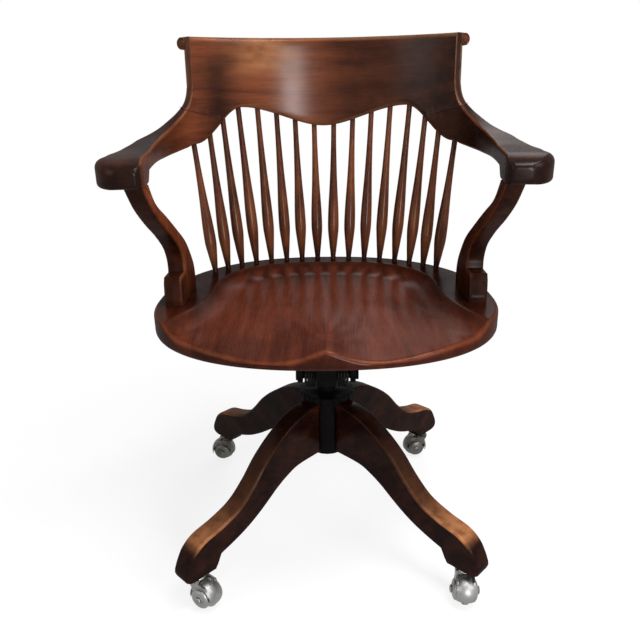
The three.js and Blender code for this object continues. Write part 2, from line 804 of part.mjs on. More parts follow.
// The crest's lower edge: a low centre, a high arch on each side and a drop to the arm.
function crestUnderside(x) {
  const distance = Math.abs(x);
  if (distance < crestArchX) {
    return lerp(crestCentreLow, crestArchHigh, smoothStep(distance / crestArchX));
  }
  const past = (distance - crestArchX) / (crestHalfWidth - crestArchX);
  return lerp(crestArchHigh, crestEndLow, smoothStep(past));
}

// Stations along the right half of the bow, each with its place, outward direction, widths and
// heights. The end of the arm is rounded in plan and over its edges.
function crestStation(angle) {
  const out = vector(Math.sin(angle), Math.cos(angle), 0);
  const at = out.clone().multiplyScalar(bowArcRadius).add(vector(0, arcCentreY, 0));
  return {
    at, out, inner: 0, outer: crestThickness, bottom: crestUnderside(at.x), top: crestTop,
    topRound: crestTopRound, innerRound: crestTopRound, bead: 1,
  };
}

function armStation(t, fromTip) {
  const at = armCurve.getPoint(t);
  const run = armCurve.getTangent(t);
  const sweep = along(sweepShares, t) * (sweepTop - armTop);
  const [blockStart, blockEnd] = armEndBlockShares;
  const block = smoothStep((t - blockStart) / (blockEnd - blockStart));
  const under = lerp(armUnderside, crestEndLow, along(underShares, t));
  const middle = lerp(crestThickness, armMiddleWidth, along(widthShares, t));
  const width = lerp(middle, armWidth, along(tipWidthShares, t));
  const roundIn = (radius) => {
    const left = clamp(radius - fromTip, 0, radius);
    return radius - Math.sqrt(radius * radius - left * left);
  };
  return {
    at, out: vector(-run.y, run.x, 0),
    inner: roundIn(armTipInnerRound), outer: width - roundIn(armTipOuterRound),
    bottom: lerp(under, armEndBottom, block) + roundIn(bowBottomRound),
    top: armTop + sweep - roundIn(armTopRound),
    topRound: armTopRound, innerRound: armInnerRound, bead: 0,
  };
}

// The section at a station, as points around it: the inner and outer lower corners, the outer
// upper corner, which the crest rolls back into a bead, and the inner upper corner.
const beadStart = -100; // degrees
function bowSection({ at, out, inner, outer, bottom, top, topRound, innerRound, bead }) {
  const narrow = Math.min((outer - inner) / 3, (top - bottom) / 3);
  const low = Math.min(bowBottomRound, narrow);
  const high = Math.min(innerRound, narrow);
  const back = Math.min(topRound, narrow);
  const roll = lerp(back, beadRadius, bead);
  const rollOut = lerp(outer - roll, outer + beadOut, bead);
  const outline = [
    ...arc(inner + low, bottom + low, low, 180, 270, 2),
    ...arc(outer - low, bottom + low, low, 270, 360, 2),
    ...arc(rollOut, top - roll, roll, lerp(0, beadStart, bead), 90, 6),
    ...arc(inner + high, top - high, high, 90, 180, 2),
  ];
  return outline.map(([n, z]) => {
    const lean = crestLean * Math.max(z - armTop, 0);
    return out.clone().multiplyScalar(n).add(at).add(vector(0, lean, 0)).setZ(z);
  });
}

function bow() {
  const half = [];
  for (let i = 0; i <= crestSteps / 2; i += 1) {
    half.push(crestStation((crestEndAngle * i) / (crestSteps / 2)));
  }
  const rootShare = sweepStep / armLength;
  half.push({ ...armStation(rootShare / 2, armLength), top: crestTop });
  const tip = armTipOuterRound / armLength;
  for (let i = 0; i <= armSteps; i += 1) {
    const t = lerp(rootShare, 1 - tip, (i / armSteps) ** armStepShare);
    half.push(armStation(t, (1 - t) * armLength));
  }
  for (const share of [0.6, 0.3, 0.12, 0.03, 0]) {
    half.push(armStation(1 - share * tip, share * armTipOuterRound));
  }
  const right = half.map(bowSection);
  const left = right.slice(1).map((ring) => ring.map((p) => vector(-p.x, p.y, p.z)));
  return skinned([...left.reverse(), ...right]);
}

// What belongs to the crest panel, in front view: all above the glue seams and between them.
function crestRegion(grow) {
  const far = seatHalfWidth * 2;
  const seamSlope = (seamOuterHeight - seamInnerHeight) / (crestHalfWidth - seamX);
  const half = [
    [seamX + grow, seatTop],
    [seamX + grow, seamInnerHeight - grow],
    [far, seamInnerHeight - grow + seamSlope * (far - seamX)],
    [far, crestTop + far],
  ];
  const outline = [...half, ...half.map(([x, z]) => [-x, z]).reverse()];
  return frontBoard(outline, 2 * far);
}

// Spindles: sixteen turned sticks between the seat's back rim and the bow
const spindleCount = 16;
const spindleFootRadius = 5;
const spindleBellyRadius = 10.3;
const spindleTopRadius = 4.7;
const spindleFootDepth = 20;
const spindleTopDepth = 12;
const spindleSides = 8;
const spindleFootInset = 18;
const spindleFootSpacing = 29.7;
const spindleTopSpacing = 36.2;
const spindleTopSink = 2;

// Radii between the foot and the belly, and between the belly and the top, along the stick.
const spindleBellyShares = [[0, 0], [0.12, 0.5], [0.25, 1], [0.37, 0.94]];
const spindleTaperShares = [[0.6, 0.42], [1, 0]];

// The seat's outline: a full, slightly squared curve, widest a little in front of the axis.
const seatWidestY = -50;
const seatFrontReach = 201;
const seatBackReach = 257;
const outlineShare = 2 / 2.3; // a power: 1 is an ellipse, and less is squarer

function seatEdge(angle, inset) {
  const power = (v) => Math.sign(v) * Math.abs(v) ** outlineShare;
  const reach = Math.sin(angle) > 0 ? seatBackReach : seatFrontReach;
  return vector(
    (seatHalfWidth - inset) * power(Math.cos(angle)),
    seatWidestY + (reach - inset) * power(Math.sin(angle)),
    0,
  );
}

// Points at equal spacing either side of the middle of a line that is given from its middle out.
function spaced(line, spacing) {
  const lengths = [0];
  for (let i = 1; i < line.length; i += 1) {
    lengths.push(lengths[i - 1] + line[i].distanceTo(line[i - 1]));
  }
  return Array.from({ length: spindleCount / 2 }, (_, k) => {
    const wanted = spacing * (k + 1 / 2);
    const i = Math.max(lengths.findIndex((length) => length >= wanted), 1);
    const share = (wanted - lengths[i - 1]) / (lengths[i] - lengths[i - 1]);
    return line[i - 1].clone().lerp(line[i], clamp(share, 0, 1));
  });
}

const lineSteps = 120;
const footLine = Array.from({ length: lineSteps + 1 }, (_, i) =>
  seatEdge(radians(90 - (90 * i) / lineSteps), spindleFootInset).setZ(seatTop),
);
const topLine = [];
for (let i = 0; i <= lineSteps; i += 1) {
  const { at, out, bottom } = crestStation((crestEndAngle * i) / lineSteps);
  topLine.push(out.clone().multiplyScalar(crestThickness / 2).add(at).setZ(bottom));
}
for (let i = 1; i <= lineSteps; i += 1) {
  const { at, out, inner, bottom } = armStation(i / lineSteps, armLength);
  topLine.push(out.clone().multiplyScalar(inner + crestThickness / 2).add(at).setZ(bottom));
}
const spindleFeet = spaced(footLine, spindleFootSpacing);
const spindleHeads = spaced(topLine, spindleTopSpacing);

// A spindle's foot and head from left to right, one to sixteen.
function spindleEnds(number) {
  const fromMiddle = number - (spindleCount + 1) / 2;
  const side = Math.sign(fromMiddle);
  const k = Math.abs(fromMiddle) - 1 / 2;
  const place = (p) => vector(side * p.x, p.y, p.z);
  const foot = place(spindleFeet[k]);
  const head = place(spindleHeads[k]);
  const axis = head.clone().sub(foot).normalize();
  head.addScaledVector(axis, spindleTopSink);
  return { foot, head, axis, length: foot.distanceTo(head) };
}

function spindle({ foot, head, length }) {
  const body = [
    ...spindleBellyShares.map(([s, w]) => [lerp(spindleFootRadius, spindleBellyRadius, w), s * length]),
    ...spindleTaperShares.map(([s, w]) => [lerp(spindleTopRadius, spindleBellyRadius, w), s * length]),
  ];
  const profile = [
    [0, -spindleFootDepth], [spindleFootRadius, -spindleFootDepth], ...body,
    [spindleTopRadius, length + spindleTopDepth], [0, length + spindleTopDepth],
  ];
  return laid(turned(profile, spindleSides), foot, head);
}

const spindles = Array.from({ length: spindleCount }, (_, i) => spindleEnds(i + 1));
const footHoles = spindles.map(({ foot, axis }) =>
  rod(
    foot.clone().addScaledVector(axis, -spindleFootDepth - fit),
    foot.clone().addScaledVector(axis, spindleFootDepth),
    spindleFootRadius + fit, spindleSides,
  ),
);
const headHoles = spindles.map(({ head, axis }) =>
  rod(
    head.clone().addScaledVector(axis, -2 * spindleTopDepth),
    head.clone().addScaledVector(axis, spindleTopDepth + fit),
    spindleTopRadius + fit, spindleSides,
  ),
);
spindles.forEach((ends, i) => {
  const name = "spindle_" + String(i + 1).padStart(2, "0");
  piece(name, spindle(ends), spindleWood, chair);
});

// The bow is cut apart at its two glue seams and bored for the spindles
const wholeBow = bow();
const armPair = cut(wholeBow, crestRegion(fit));
const farSide = seatHalfWidth * 2;
const rightHalf = slab(0, farSide, -farSide, farSide, 0, crestTop + overrun);
const rightArm = cut(common(armPair, rightHalf), ...headHoles.slice(spindleCount / 2));
piece("crest_panel", cut(common(wholeBow, crestRegion(0)), ...headHoles), crestWood, chair);
piece("arm_right", rightArm, armWood, chair);
piece("arm_left", mirrored(rightArm), armWood, chair);

// Seat: one board with a rim left flat, scooped to a dish with two thigh hollows and a ridge
const dishHalfWidth = 184;
const dishBackY = 165;
const dishSpread = 50;
const dishSpreadReach = 160;
const dishDepth = 15;
const dishEdgeShare = 0.24;
const dishPowerShare = 2.6;
const thighDepth = 10;
const thighX = 75;
const thighHalfWidth = 70;
const ridgeHeight = 12;
const ridgeHalfWidth = 26;
const frontStartY = -40;
const frontRun = 200;
const seatTopRound = 5;
const seatBottomRound = 7;
const seatSides = 48;
const seatRingShares = [0.2, 0.4, 0.56, 0.68, 0.78, 0.87, 0.94];

function dishAt(x, y) {
  const wide = dishHalfWidth + dishSpread * (y / dishSpreadReach) ** 2;
  const across = Math.abs(x) / (y < 0 ? wide : dishHalfWidth);
  const back = Math.max(y, 0) / dishBackY;
  const reach = (across ** dishPowerShare + back ** dishPowerShare) ** (1 / dishPowerShare);
  const edge = clamp((1 - reach) / dishEdgeShare, 0, 1);
  const front = smoothStep((frontStartY - y) / frontRun);
  const bell = (distance, width) => Math.exp(-((distance / width) ** 2));
  const thigh = thighDepth * bell(Math.abs(x) - thighX, thighHalfWidth);
  const ridge = ridgeHeight * bell(x, ridgeHalfWidth);
  return (dishDepth + front * (thigh - ridge)) * (1 - (1 - edge) ** 2);
}

function seatSurface() {
  const ring = (inset, share, height) =>
    Array.from({ length: seatSides }, (_, i) => {
      const edge = seatEdge((2 * Math.PI * i) / seatSides, inset);
      const x = edge.x * share;
      const y = seatWidestY + (edge.y - seatWidestY) * share;
      return vector(x, y, height(x, y));
    });
  const top = (x, y) => seatTop - dishAt(x, y);
  const third = 1 / 3;
  return skinned([
    ...seatRingShares.map((share) => ring(0, share, top)),
    ring(seatTopRound, 1, top),
    ring(seatTopRound * third, 1, (x, y) => top(x, y) - seatTopRound * third),
    ring(0, 1, (x, y) => top(x, y) - seatTopRound),
    ring(0, 1, () => seatBottom + seatBottomRound),
    ring(seatBottomRound * third, 1, () => seatBottom + seatBottomRound * third),
    ring(seatBottomRound, 1, () => seatBottom),
  ]);
}

const pilotHoles = screwPlaces.map(([, sideX, sideY]) => {
  const x = sideX * woodScrewX;
  const y = sideY * woodScrewY;
  const from = vector(x, y, seatBottom - overrun);
  return rod(from, vector(x, y, seatBottom + woodScrewLength + fit), woodScrewRadius + fit, smallSides);
});
piece("seat", cut(seatSurface(), ...footHoles, ...pilotHoles), seatWood, chair);

// Arm supports: planks sawn to an S, standing on the seat's rim under the arms' ends
const supportThickness = 28;
const supportFootInset = 33; // of its middle from the seat's side
const supportLean = 3.9; // degrees outwards
const supportEdge = 2.5;
const supportTopY = -172;
const supportFootY = 45;

// The two edges of the support, as shares of the run from foot to top and of its height.
const supportFrontShares = [
  [1.09, 1.05], [1, 0.915], [0.914, 0.81], [0.76, 0.68], [0.57, 0.545], [0.42, 0.41], [0.374, 0.3],
  [0.385, 0.215],
];
const supportStepShares = [[0.52, 0.215], [0.555, 0.17], [0.6, 0.05], [0.605, -0.05]];
const supportBackShares = [
  [0.13, -0.05], [0.085, 0.08], [0.08, 0.19], [0.138, 0.31], [0.24, 0.44], [0.43, 0.58],
  [0.635, 0.72], [0.835, 0.85], [0.92, 0.97], [0.95, 1.05],
];

function armSupport() {
  const supportFootX = seatHalfWidth - supportFootInset;
  const bottom = seatTop + fit;
  const top = armEndBottom - fit;
  const place = ([y, z]) => [lerp(supportFootY, supportTopY, y), lerp(bottom, top, z)];
  const outline = [
    ...smooth(supportFrontShares.map(place), 14),
    ...supportStepShares.map(place),
    ...smooth(supportBackShares.map(place), 14),
  ];
  const plank = sideBoard(outline, 0, supportThickness, supportEdge);
  plank.translate(0, 0, -bottom).rotateY(radians(supportLean)).translate(supportFootX, 0, bottom);
  return common(plank, slab(0, farSide, -farSide, farSide, bottom, top));
}

const rightSupport = armSupport();
piece("arm_support_right", rightSupport, armWood, chair);
piece("arm_support_left", mirrored(rightSupport), armWood, chair);

export default chair;
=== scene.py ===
import math

import bpy
import numpy as np
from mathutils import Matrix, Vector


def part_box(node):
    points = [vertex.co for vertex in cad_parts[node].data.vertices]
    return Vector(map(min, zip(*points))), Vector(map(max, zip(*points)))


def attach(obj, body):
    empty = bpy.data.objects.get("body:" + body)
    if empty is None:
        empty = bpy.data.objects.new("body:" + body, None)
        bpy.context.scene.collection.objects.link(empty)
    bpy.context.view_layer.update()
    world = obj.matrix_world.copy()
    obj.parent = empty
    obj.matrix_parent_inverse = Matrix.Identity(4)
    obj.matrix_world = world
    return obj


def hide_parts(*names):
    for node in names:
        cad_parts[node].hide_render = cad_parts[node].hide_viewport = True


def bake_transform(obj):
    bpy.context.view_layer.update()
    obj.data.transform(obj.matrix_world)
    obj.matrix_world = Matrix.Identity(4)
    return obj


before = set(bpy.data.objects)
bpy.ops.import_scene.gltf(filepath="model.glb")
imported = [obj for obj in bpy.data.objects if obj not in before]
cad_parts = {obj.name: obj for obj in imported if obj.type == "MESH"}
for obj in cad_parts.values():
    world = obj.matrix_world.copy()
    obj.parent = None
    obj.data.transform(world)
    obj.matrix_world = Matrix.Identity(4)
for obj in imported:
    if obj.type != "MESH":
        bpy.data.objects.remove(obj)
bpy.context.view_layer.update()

# The studio: a camera a little above the arms, a pale floor and a white backdrop, large soft lamps
# on both sides and behind, one overhead for the arms' ends, and one in front that draws the upright
# highlight on the crest panel.
camera_place = (0.0028, -1.0077, 0.767)
camera_pitch = 0.355
camera_yaw = -0.0126
camera_roll = -0.0152
camera_lens = 36.0
sensor_width = 36.0
sky_strength = 0.33
floor_reach = 8.0
floor_grey = 0.9
floor_shadow_reach = (0.35, 0.95)
floor_white_share = 0.8


def look_matrix(pitch, yaw, roll):
    """The camera's axes as columns: right, up and backwards, from its turns in radians."""
    forward = np.array([
        math.sin(yaw) * math.cos(pitch), math.cos(yaw) * math.cos(pitch), -math.sin(pitch),
    ])
    level = np.array([math.cos(yaw), -math.sin(yaw), 0.0])
    upright = np.cross(level, forward)
    right = math.cos(roll) * level + math.sin(roll) * upright
    up = -math.sin(roll) * level + math.cos(roll) * upright
    return np.column_stack([right, up, -forward])


camera_data = bpy.data.cameras.new("camera")
camera_data.sensor_width = sensor_width
camera_data.lens = camera_lens
camera = bpy.data.objects.new("camera", camera_data)
bpy.context.scene.collection.objects.link(camera)
pose = np.eye(4)
pose[:3, :3] = look_matrix(camera_pitch, camera_yaw, camera_roll)
pose[:3, 3] = camera_place
camera.matrix_world = pose.T.tolist()
bpy.context.scene.camera = camera
bpy.context.scene.view_settings.view_transform = "Standard"


def seen_white(tree, lit_socket, share_socket=None):
    """A mix that camera, glossy and transmission rays see as its second shader, times the share
    that is given, while all other rays see the lit shader."""
    nodes, links = tree.nodes, tree.links
    path = nodes.new("ShaderNodeLightPath")
    either = nodes.new("ShaderNodeMath")
    either.operation = "MAXIMUM"
    links.new(path.outputs["Is Camera Ray"], either.inputs[0])
    links.new(path.outputs["Is Glossy Ray"], either.inputs[1])
    any_ray = nodes.new("ShaderNodeMath")
    any_ray.operation = "MAXIMUM"
    links.new(either.outputs[0], any_ray.inputs[0])
    links.new(path.outputs["Is Transmission Ray"], any_ray.inputs[1])
    share = nodes.new("ShaderNodeMath")
    share.operation = "MULTIPLY"
    share.inputs[1].default_value = 1.0
    if share_socket is not None:
        links.new(share_socket, share.inputs[1])
    links.new(any_ray.outputs[0], share.inputs[0])
    mix = nodes.new("ShaderNodeMixShader")
    links.new(share.outputs[0], mix.inputs[0])
    links.new(lit_socket, mix.inputs[1])
    return mix


def feed(tree, node, values):
    """Links each named or numbered input of a node where a socket is given, and sets it where a
    value is."""
    for key, value in values.items():
        if isinstance(value, bpy.types.NodeSocket):
            tree.links.new(value, node.inputs[key])
        else:
            node.inputs[key].default_value = value


def add_node(tree, kind, *values, operation=None, **named):
    """A new shader node, with its first inputs fed in their order and others by name."""
    node = tree.nodes.new("ShaderNode" + kind)
    if operation:
        node.operation = operation
    feed(tree, node, {**dict(enumerate(values)), **named})
    return node


def new_finish(name):
    """A new material, its node tree and its shader."""
    material = bpy.data.materials.new(name)
    material.use_nodes = True
    return material, material.node_tree, material.node_tree.nodes["Principled BSDF"]


def unit(vectors):
    """The vectors brought to a length of one."""
    return vectors / np.linalg.norm(vectors, axis=-1, keepdims=True)


white = (1.0, 1.0, 1.0, 1.0)
world = bpy.data.worlds.new("studio")
bpy.context.scene.world = world
world.use_nodes = True
tree = world.node_tree
tree.nodes.clear()
blend = seen_white(tree, add_node(tree, "Background", white, sky_strength).outputs[0])
feed(tree, blend, {2: add_node(tree, "Background", white, 1.0).outputs[0]})
add_node(tree, "OutputWorld", blend.outputs[0])

floor_mesh = bpy.data.meshes.new("floor")
floor_mesh.from_pydata(
    [(-floor_reach, -floor_reach, 0), (floor_reach, -floor_reach, 0),
     (floor_reach, floor_reach, 0), (-floor_reach, floor_reach, 0)], [], [(0, 1, 2, 3)],
)
floor = bpy.data.objects.new("floor", floor_mesh)
bpy.context.scene.collection.objects.link(floor)
paint, tree, _ = new_finish("floor")
tree.nodes.clear()
matt = add_node(tree, "BsdfDiffuse", (floor_grey, floor_grey, floor_grey, 1.0))
# The floor shows its own light and shadow near the chair, and fades to plain white away from it.
place = add_node(tree, "TexCoord").outputs["Object"]
away = add_node(tree, "VectorMath", place, operation="LENGTH").outputs["Value"]
fade = add_node(tree, "MapRange", away, *floor_shadow_reach, floor_white_share, 1.0)
fade.interpolation_type = "SMOOTHSTEP"
blend = seen_white(tree, matt.outputs[0], fade.outputs["Result"])
feed(tree, blend, {2: add_node(tree, "Emission", white, 1.0).outputs[0]})
add_node(tree, "OutputMaterial", blend.outputs[0])
floor_mesh.materials.append(paint)


def softbox(name, place, aim, width, height, energy):
    """A rectangular lamp at place, facing aim."""
    data = bpy.data.lights.new(name, "AREA")
    data.shape = "RECTANGLE"
    data.size = width
    data.size_y = height
    data.energy = energy
    lamp = bpy.data.objects.new(name, data)
    bpy.context.scene.collection.objects.link(lamp)
    back = unit(np.array(place, float) - np.array(aim, float))
    side = unit(np.cross([0.0, 0.0, 1.0], back))
    turn = np.eye(4)
    turn[:3, :3] = np.column_stack([side, np.cross(back, side), back])
    turn[:3, 3] = place
    lamp.matrix_world = turn.T.tolist()


softbox("key", (1.9, -1.7, 2.2), (0.0, 0.0, 0.5), 1.3, 1.3, 41.0)
softbox("fill", (-1.9, -1.6, 1.5), (0.0, 0.0, 0.5), 1.0, 1.4, 13.0)
softbox("strip", (0.76, -2.6, 0.86), (-0.05, 0.2, 0.78), 0.46, 0.5, 40.0)
softbox("top", (0.55, -0.5, 2.1), (0.2, -0.15, 0.6), 0.9, 0.42, 32.0)
softbox("rear", (0.6, 2.2, 1.9), (0.0, 0.0, 0.6), 1.6, 1.2, 22.0)

# The seat: one broad board, flat round the rim and scooped to a shallow dish with a hollow for
# each thigh and a sharp ridge between them, stained red-brown and varnished.
seat_top = 0.450
seat_bottom = 0.412
seat_half_width = 0.264
seat_widest_y = -0.050
seat_front_reach = 0.201
seat_back_reach = 0.257
seat_squareness = 2.3
seat_top_round = 0.007
seat_bottom_round = 0.010
dish_half_width = 0.184
dish_back_y = 0.165
dish_spread = 0.050
dish_spread_reach = 0.160
dish_depth = 0.015
dish_edge_share = 0.24
dish_power = 2.6
thigh_depth = 0.010
thigh_x = 0.075
thigh_half_width = 0.070
ridge_height = 0.013
ridge_half_width = 0.028
ridge_power = 1.35
front_start_y = -0.040
front_run = 0.200
seat_around = 288
seat_across = 120


def rising(value, start, run):
    """A smooth step, 3t^2 - 2t^3, from 0 where the value is start to 1 where it is start + run."""
    t = np.clip((value - start) / run, 0.0, 1.0)
    return t * t * (3.0 - 2.0 * t)


def bell(value, middle, reach):
    """A bell curve, e^(-t^2), with t the distance from the middle in reaches."""
    return np.exp(-(((value - middle) / reach) ** 2))


def round_angles(count):
    """Equal steps once round a circle."""
    return np.linspace(0.0, 2.0 * math.pi, count, endpoint=False)


def seat_edge(angle, inset):
    """The seat's outline as a superellipse |x/a|^2.3 + |y/b|^2.3 = 1 with a shorter front half."""
    def power(v):
        """The superellipse's power of v, with its sign kept."""
        return np.sign(v) * np.abs(v) ** (2.0 / seat_squareness)
    reach = np.where(np.sin(angle) > 0, seat_back_reach, seat_front_reach)
    x = (seat_half_width - inset) * power(np.cos(angle))
    return x, seat_widest_y + (reach - inset) * power(np.sin(angle))


def dish_shares(x, y):
    """How far a point lies from the dish's middle, with 1 on the dish's edge line."""
    wide = dish_half_width + dish_spread * (y / dish_spread_reach) ** 2
    across = np.abs(x) / np.where(y < 0, wide, dish_half_width)
    back = np.maximum(y, 0.0) / dish_back_y
    return (across ** dish_power + back ** dish_power) ** (1.0 / dish_power)


def dish_at(x, y):
    """The scoop's depth: a parabola inside the edge line, two bell-shaped hollows and a ridge."""
    inside = np.clip((1.0 - dish_shares(x, y)) / dish_edge_share, 0.0, 1.0)
    front = rising(y, front_start_y, -front_run)
    thigh = thigh_depth * bell(np.abs(x), thigh_x, thigh_half_width)
    ridge = ridge_height * np.exp(-((np.abs(x) / ridge_half_width) ** ridge_power))
    return (dish_depth + front * thigh - front ** 3 * ridge) * (1.0 - (1.0 - inside) ** 2)


def grid_faces(rows, columns):
    """Quads between the rings of a rows x columns grid that closes along its columns, with an
    n-gon over its first and last ring."""
    r, c = np.meshgrid(np.arange(rows - 1), np.arange(columns), indexing="ij")
    n = (c + 1) % columns
    quads = np.stack([r * columns + c, r * columns + n, (r + 1) * columns + n, (r + 1) * columns + c], -1)
    faces = quads.reshape(-1, 4).tolist()
    faces.append(list(range(columns))[::-1])
    faces.append(list(range((rows - 1) * columns, rows * columns)))
    return faces


def shell_volume(points, faces):
    """Six times the volume inside the rings' quads and caps, by fans from each face's first point."""
    total = 0.0
    quads = np.array([f for f in faces if len(f) == 4])
    a, b, c, d = (points[quads[:, k]] for k in range(4))
    total += np.einsum("ij,ij->", a, np.cross(b, c)) + np.einsum("ij,ij->", a, np.cross(c, d))
    for face in faces[-2:]:
        ring = points[face]
        total += np.einsum("j,ij->", ring[0], np.cross(ring[1:-1], ring[2:]))
    return total


sharp_angle = math.radians(38)


def skin(name, parts, grain=None, wear_and_sheen=None, soil_and_shade=None):
    """A mesh of one or more closed surfaces, each a (rows, columns, 3) array of rings of points.
    grain is each point's place in the wood, and the next two, from 0 to 1, say how far it is lightened
    by rubbing and by painted sheen, and how far it is darkened by age and by painted shade."""
    points, faces, grains, wear_and_sheen_lists, soil_and_shade_lists = [], [], [], [], []
    start = 0
    for i, rings in enumerate(parts):
        rows, columns, _ = rings.shape
        flat = rings.reshape(-1, 3)
        own = grid_faces(rows, columns)
        if shell_volume(flat, own) < 0:
            own = [f[::-1] for f in own]
        faces += [[k + start for k in f] for f in own]
        points.append(flat)
        grains.append(flat if grain is None else np.broadcast_to(grain[i], rings.shape).reshape(-1, 3))
        for share, shares in ((wear_and_sheen, wear_and_sheen_lists), (soil_and_shade, soil_and_shade_lists)):
            own_share = 0.0 if share is None else share[i]
            shares.append(np.broadcast_to(own_share, (rows, columns)).reshape(-1))
        start += len(flat)
    mesh = bpy.data.meshes.new(name)
    mesh.from_pydata(np.concatenate(points).tolist(), [], faces)
    mesh.attributes.new("grain", "FLOAT_VECTOR", "POINT").data.foreach_set(
        "vector", np.concatenate(grains).astype(np.float32).ravel())
    for label, shares in (("wear_and_sheen", wear_and_sheen_lists), ("soil_and_shade", soil_and_shade_lists)):
        mesh.attributes.new(label, "FLOAT", "POINT").data.foreach_set(
            "value", np.concatenate(shares).astype(np.float32))
    mesh.shade_smooth()
    mesh.set_sharp_from_angle(angle=sharp_angle)
    piece = bpy.data.objects.new(name, mesh)
    bpy.context.scene.collection.objects.link(piece)
    return piece


def set_piece(piece, material, body, slot, *nodes):
    """Gives a finished piece its material and its place in the model."""
    piece.data.materials.append(material)
    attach(piece, body)
    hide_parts(*nodes)


def mixed(tree, kind, factor, a, b):
    """A mix of two colours by a factor."""
    node = tree.nodes.new("ShaderNodeMix")
    node.data_type = "RGBA"
    node.blend_type = kind
    feed(tree, node, {0: factor, 6: a, 7: b})
    return node.outputs[2]


def wood_group():
    """Varnished wood as a node group. Noises stretched along the grain make its figure, fibres
    and pores, and broader ones the dark patches, the uneven soil with painted shade, the uneven
    rubbing with painted sheen, and smears in the gloss. The pores, the patches, and the soil with
    painted shade multiply the colour by their tints, and rubbing with painted sheen mixes in the worn
    colour."""
    group = bpy.data.node_groups.new("varnished_wood", "ShaderNodeTree")
    sockets = [("INPUT", "Vector", "NodeSocketVector")]
    sockets += [("INPUT", name, "NodeSocketColor") for name in ("Light", "Dark", "WornAndSheen")]
    sockets += [("INPUT", name, "NodeSocketFloat") for name in ("WearAndSheen", "SoilAndShade", "Patches", "Gloss")]
    sockets += [("OUTPUT", "Color", "NodeSocketColor")]
    sockets += [("OUTPUT", name, "NodeSocketFloat") for name in ("Roughness", "Coat", "Height")]
    for way, name, kind in sockets:
        group.interface.new_socket(name=name, in_out=way, socket_type=kind)
    given = group.nodes.new("NodeGroupInput").outputs

    def noise(stretch, detail, rough, low, high, to_low=0.0, to_high=1.0, twist=0.0):
        """A noise whose range from low to high is spread over to_low to to_high."""
        place = add_node(group, "VectorMath", given["Vector"], stretch, operation="MULTIPLY").outputs[0]
        cloud = add_node(
            group, "TexNoise", Vector=place, Scale=1.0, Detail=detail, Roughness=rough, Distortion=twist)
        return add_node(group, "MapRange", cloud.outputs["Fac"], low, high, to_low, to_high).outputs[0]

    def joined(operation, a, b):
        """Two values joined by an operation of arithmetic."""
        return add_node(group, "Math", a, b, operation=operation).outputs[0]

    def times(a, b):
        """One value times another."""
        return joined("MULTIPLY", a, b)

    pore_tint, patch_tint = (0.25, 0.2, 0.18, 1.0), (0.34, 0.3, 0.34, 1.0)
    soil_and_shade_tint = (0.10, 0.11, 0.14, 1.0)
    figure_share, pore_depth, fibre_relief = 0.55, 0.55, 0.5
    shine_most, smear_fade, rough_least, rough_spread = 1.15, 0.4, 0.4, 0.2
    figure = noise((3.5, 34.0, 34.0), 4.0, 0.55, 0.36, 0.66, twist=0.9)
    fibres = noise((16.0, 520.0, 520.0), 3.0, 0.65, 0.3, 0.72)
    pores = noise((60.0, 1300.0, 1300.0), 2.0, 0.5, 0.60, 0.70)
    patches = noise((7.0, 9.0, 9.0), 4.0, 0.6, 0.50, 0.74, twist=0.4)
    dirt = noise((24.0, 30.0, 30.0), 4.0, 0.6, 0.3, 0.6, 0.8, 1.0, twist=0.3)
    rub = noise((22.0, 60.0, 60.0), 4.0, 0.55, 0.3, 0.58, 0.35, 1.0)
    smear = noise((22.0, 26.0, 26.0), 5.0, 0.65, 0.3, 0.75)
    tone = joined("ADD", times(figure, figure_share), times(fibres, 1 - figure_share))
    color = mixed(group, "MIX", tone, given["Dark"], given["Light"])
    color = mixed(group, "MULTIPLY", times(pores, pore_depth), color, pore_tint)
    color = mixed(group, "MULTIPLY", times(patches, given["Patches"]), color, patch_tint)
    # Soil and painted shade darken the colour by the soil tint, spread by the dirt cloud; rubbing and
    # painted sheen mix in the worn colour.
    color = mixed(group, "MULTIPLY", times(dirt, given["SoilAndShade"]), color, soil_and_shade_tint)
    color = mixed(group, "MIX", times(given["WearAndSheen"], rub), color, given["WornAndSheen"])
    shine = joined("SUBTRACT", shine_most, times(smear, smear_fade))
    feed(group, group.nodes.new("NodeGroupOutput"), {
        "Color": color,
        "Roughness": joined("ADD", times(smear, rough_spread), rough_least),
        "Coat": times(given["Gloss"], shine),
        "Height": joined("SUBTRACT", times(fibres, fibre_relief), pores),
    })
    return group


wood_tree = wood_group()


def varnished(name, light, dark, worn_and_sheen, patches, gloss, relief, blur=0.22):
    """A wood finish on the varnished_wood group: its colours, of which the worn one also paints
    sheen, its darker patches and its coat, whose reflections are soft by blur."""
    material, tree, shader = new_finish(name)
    group = tree.nodes.new("ShaderNodeGroup")
    group.node_tree = wood_tree

    def own(attribute, output):
        """One of the values that the piece's own points carry."""
        node = tree.nodes.new("ShaderNodeAttribute")
        node.attribute_name = attribute
        return node.outputs[output]

    feed(tree, group, {
        "Light": (*light, 1.0), "Dark": (*dark, 1.0), "WornAndSheen": (*worn_and_sheen, 1.0), "Patches": patches,
        "Gloss": gloss, "Vector": own("grain", "Vector"), "WearAndSheen": own("wear_and_sheen", "Fac"),
        "SoilAndShade": own("soil_and_shade", "Fac"),
    })
    bump = add_node(tree, "Bump", Strength=1.0, Distance=relief, Height=group.outputs["Height"])
    feed(tree, shader, {
        "Base Color": group.outputs["Color"], "Roughness": group.outputs["Roughness"],
        "Coat Weight": group.outputs["Coat"], "Normal": bump.outputs[0],
        "Specular IOR Level": 0.0, "Coat Roughness": blur,
    })
    return material


seat_wood = varnished(
    "seat_wood", (0.108, 0.025, 0.011), (0.040, 0.008, 0.004), (0.27, 0.08, 0.03),
    patches=0.7, gloss=0.12, relief=0.00005,
)


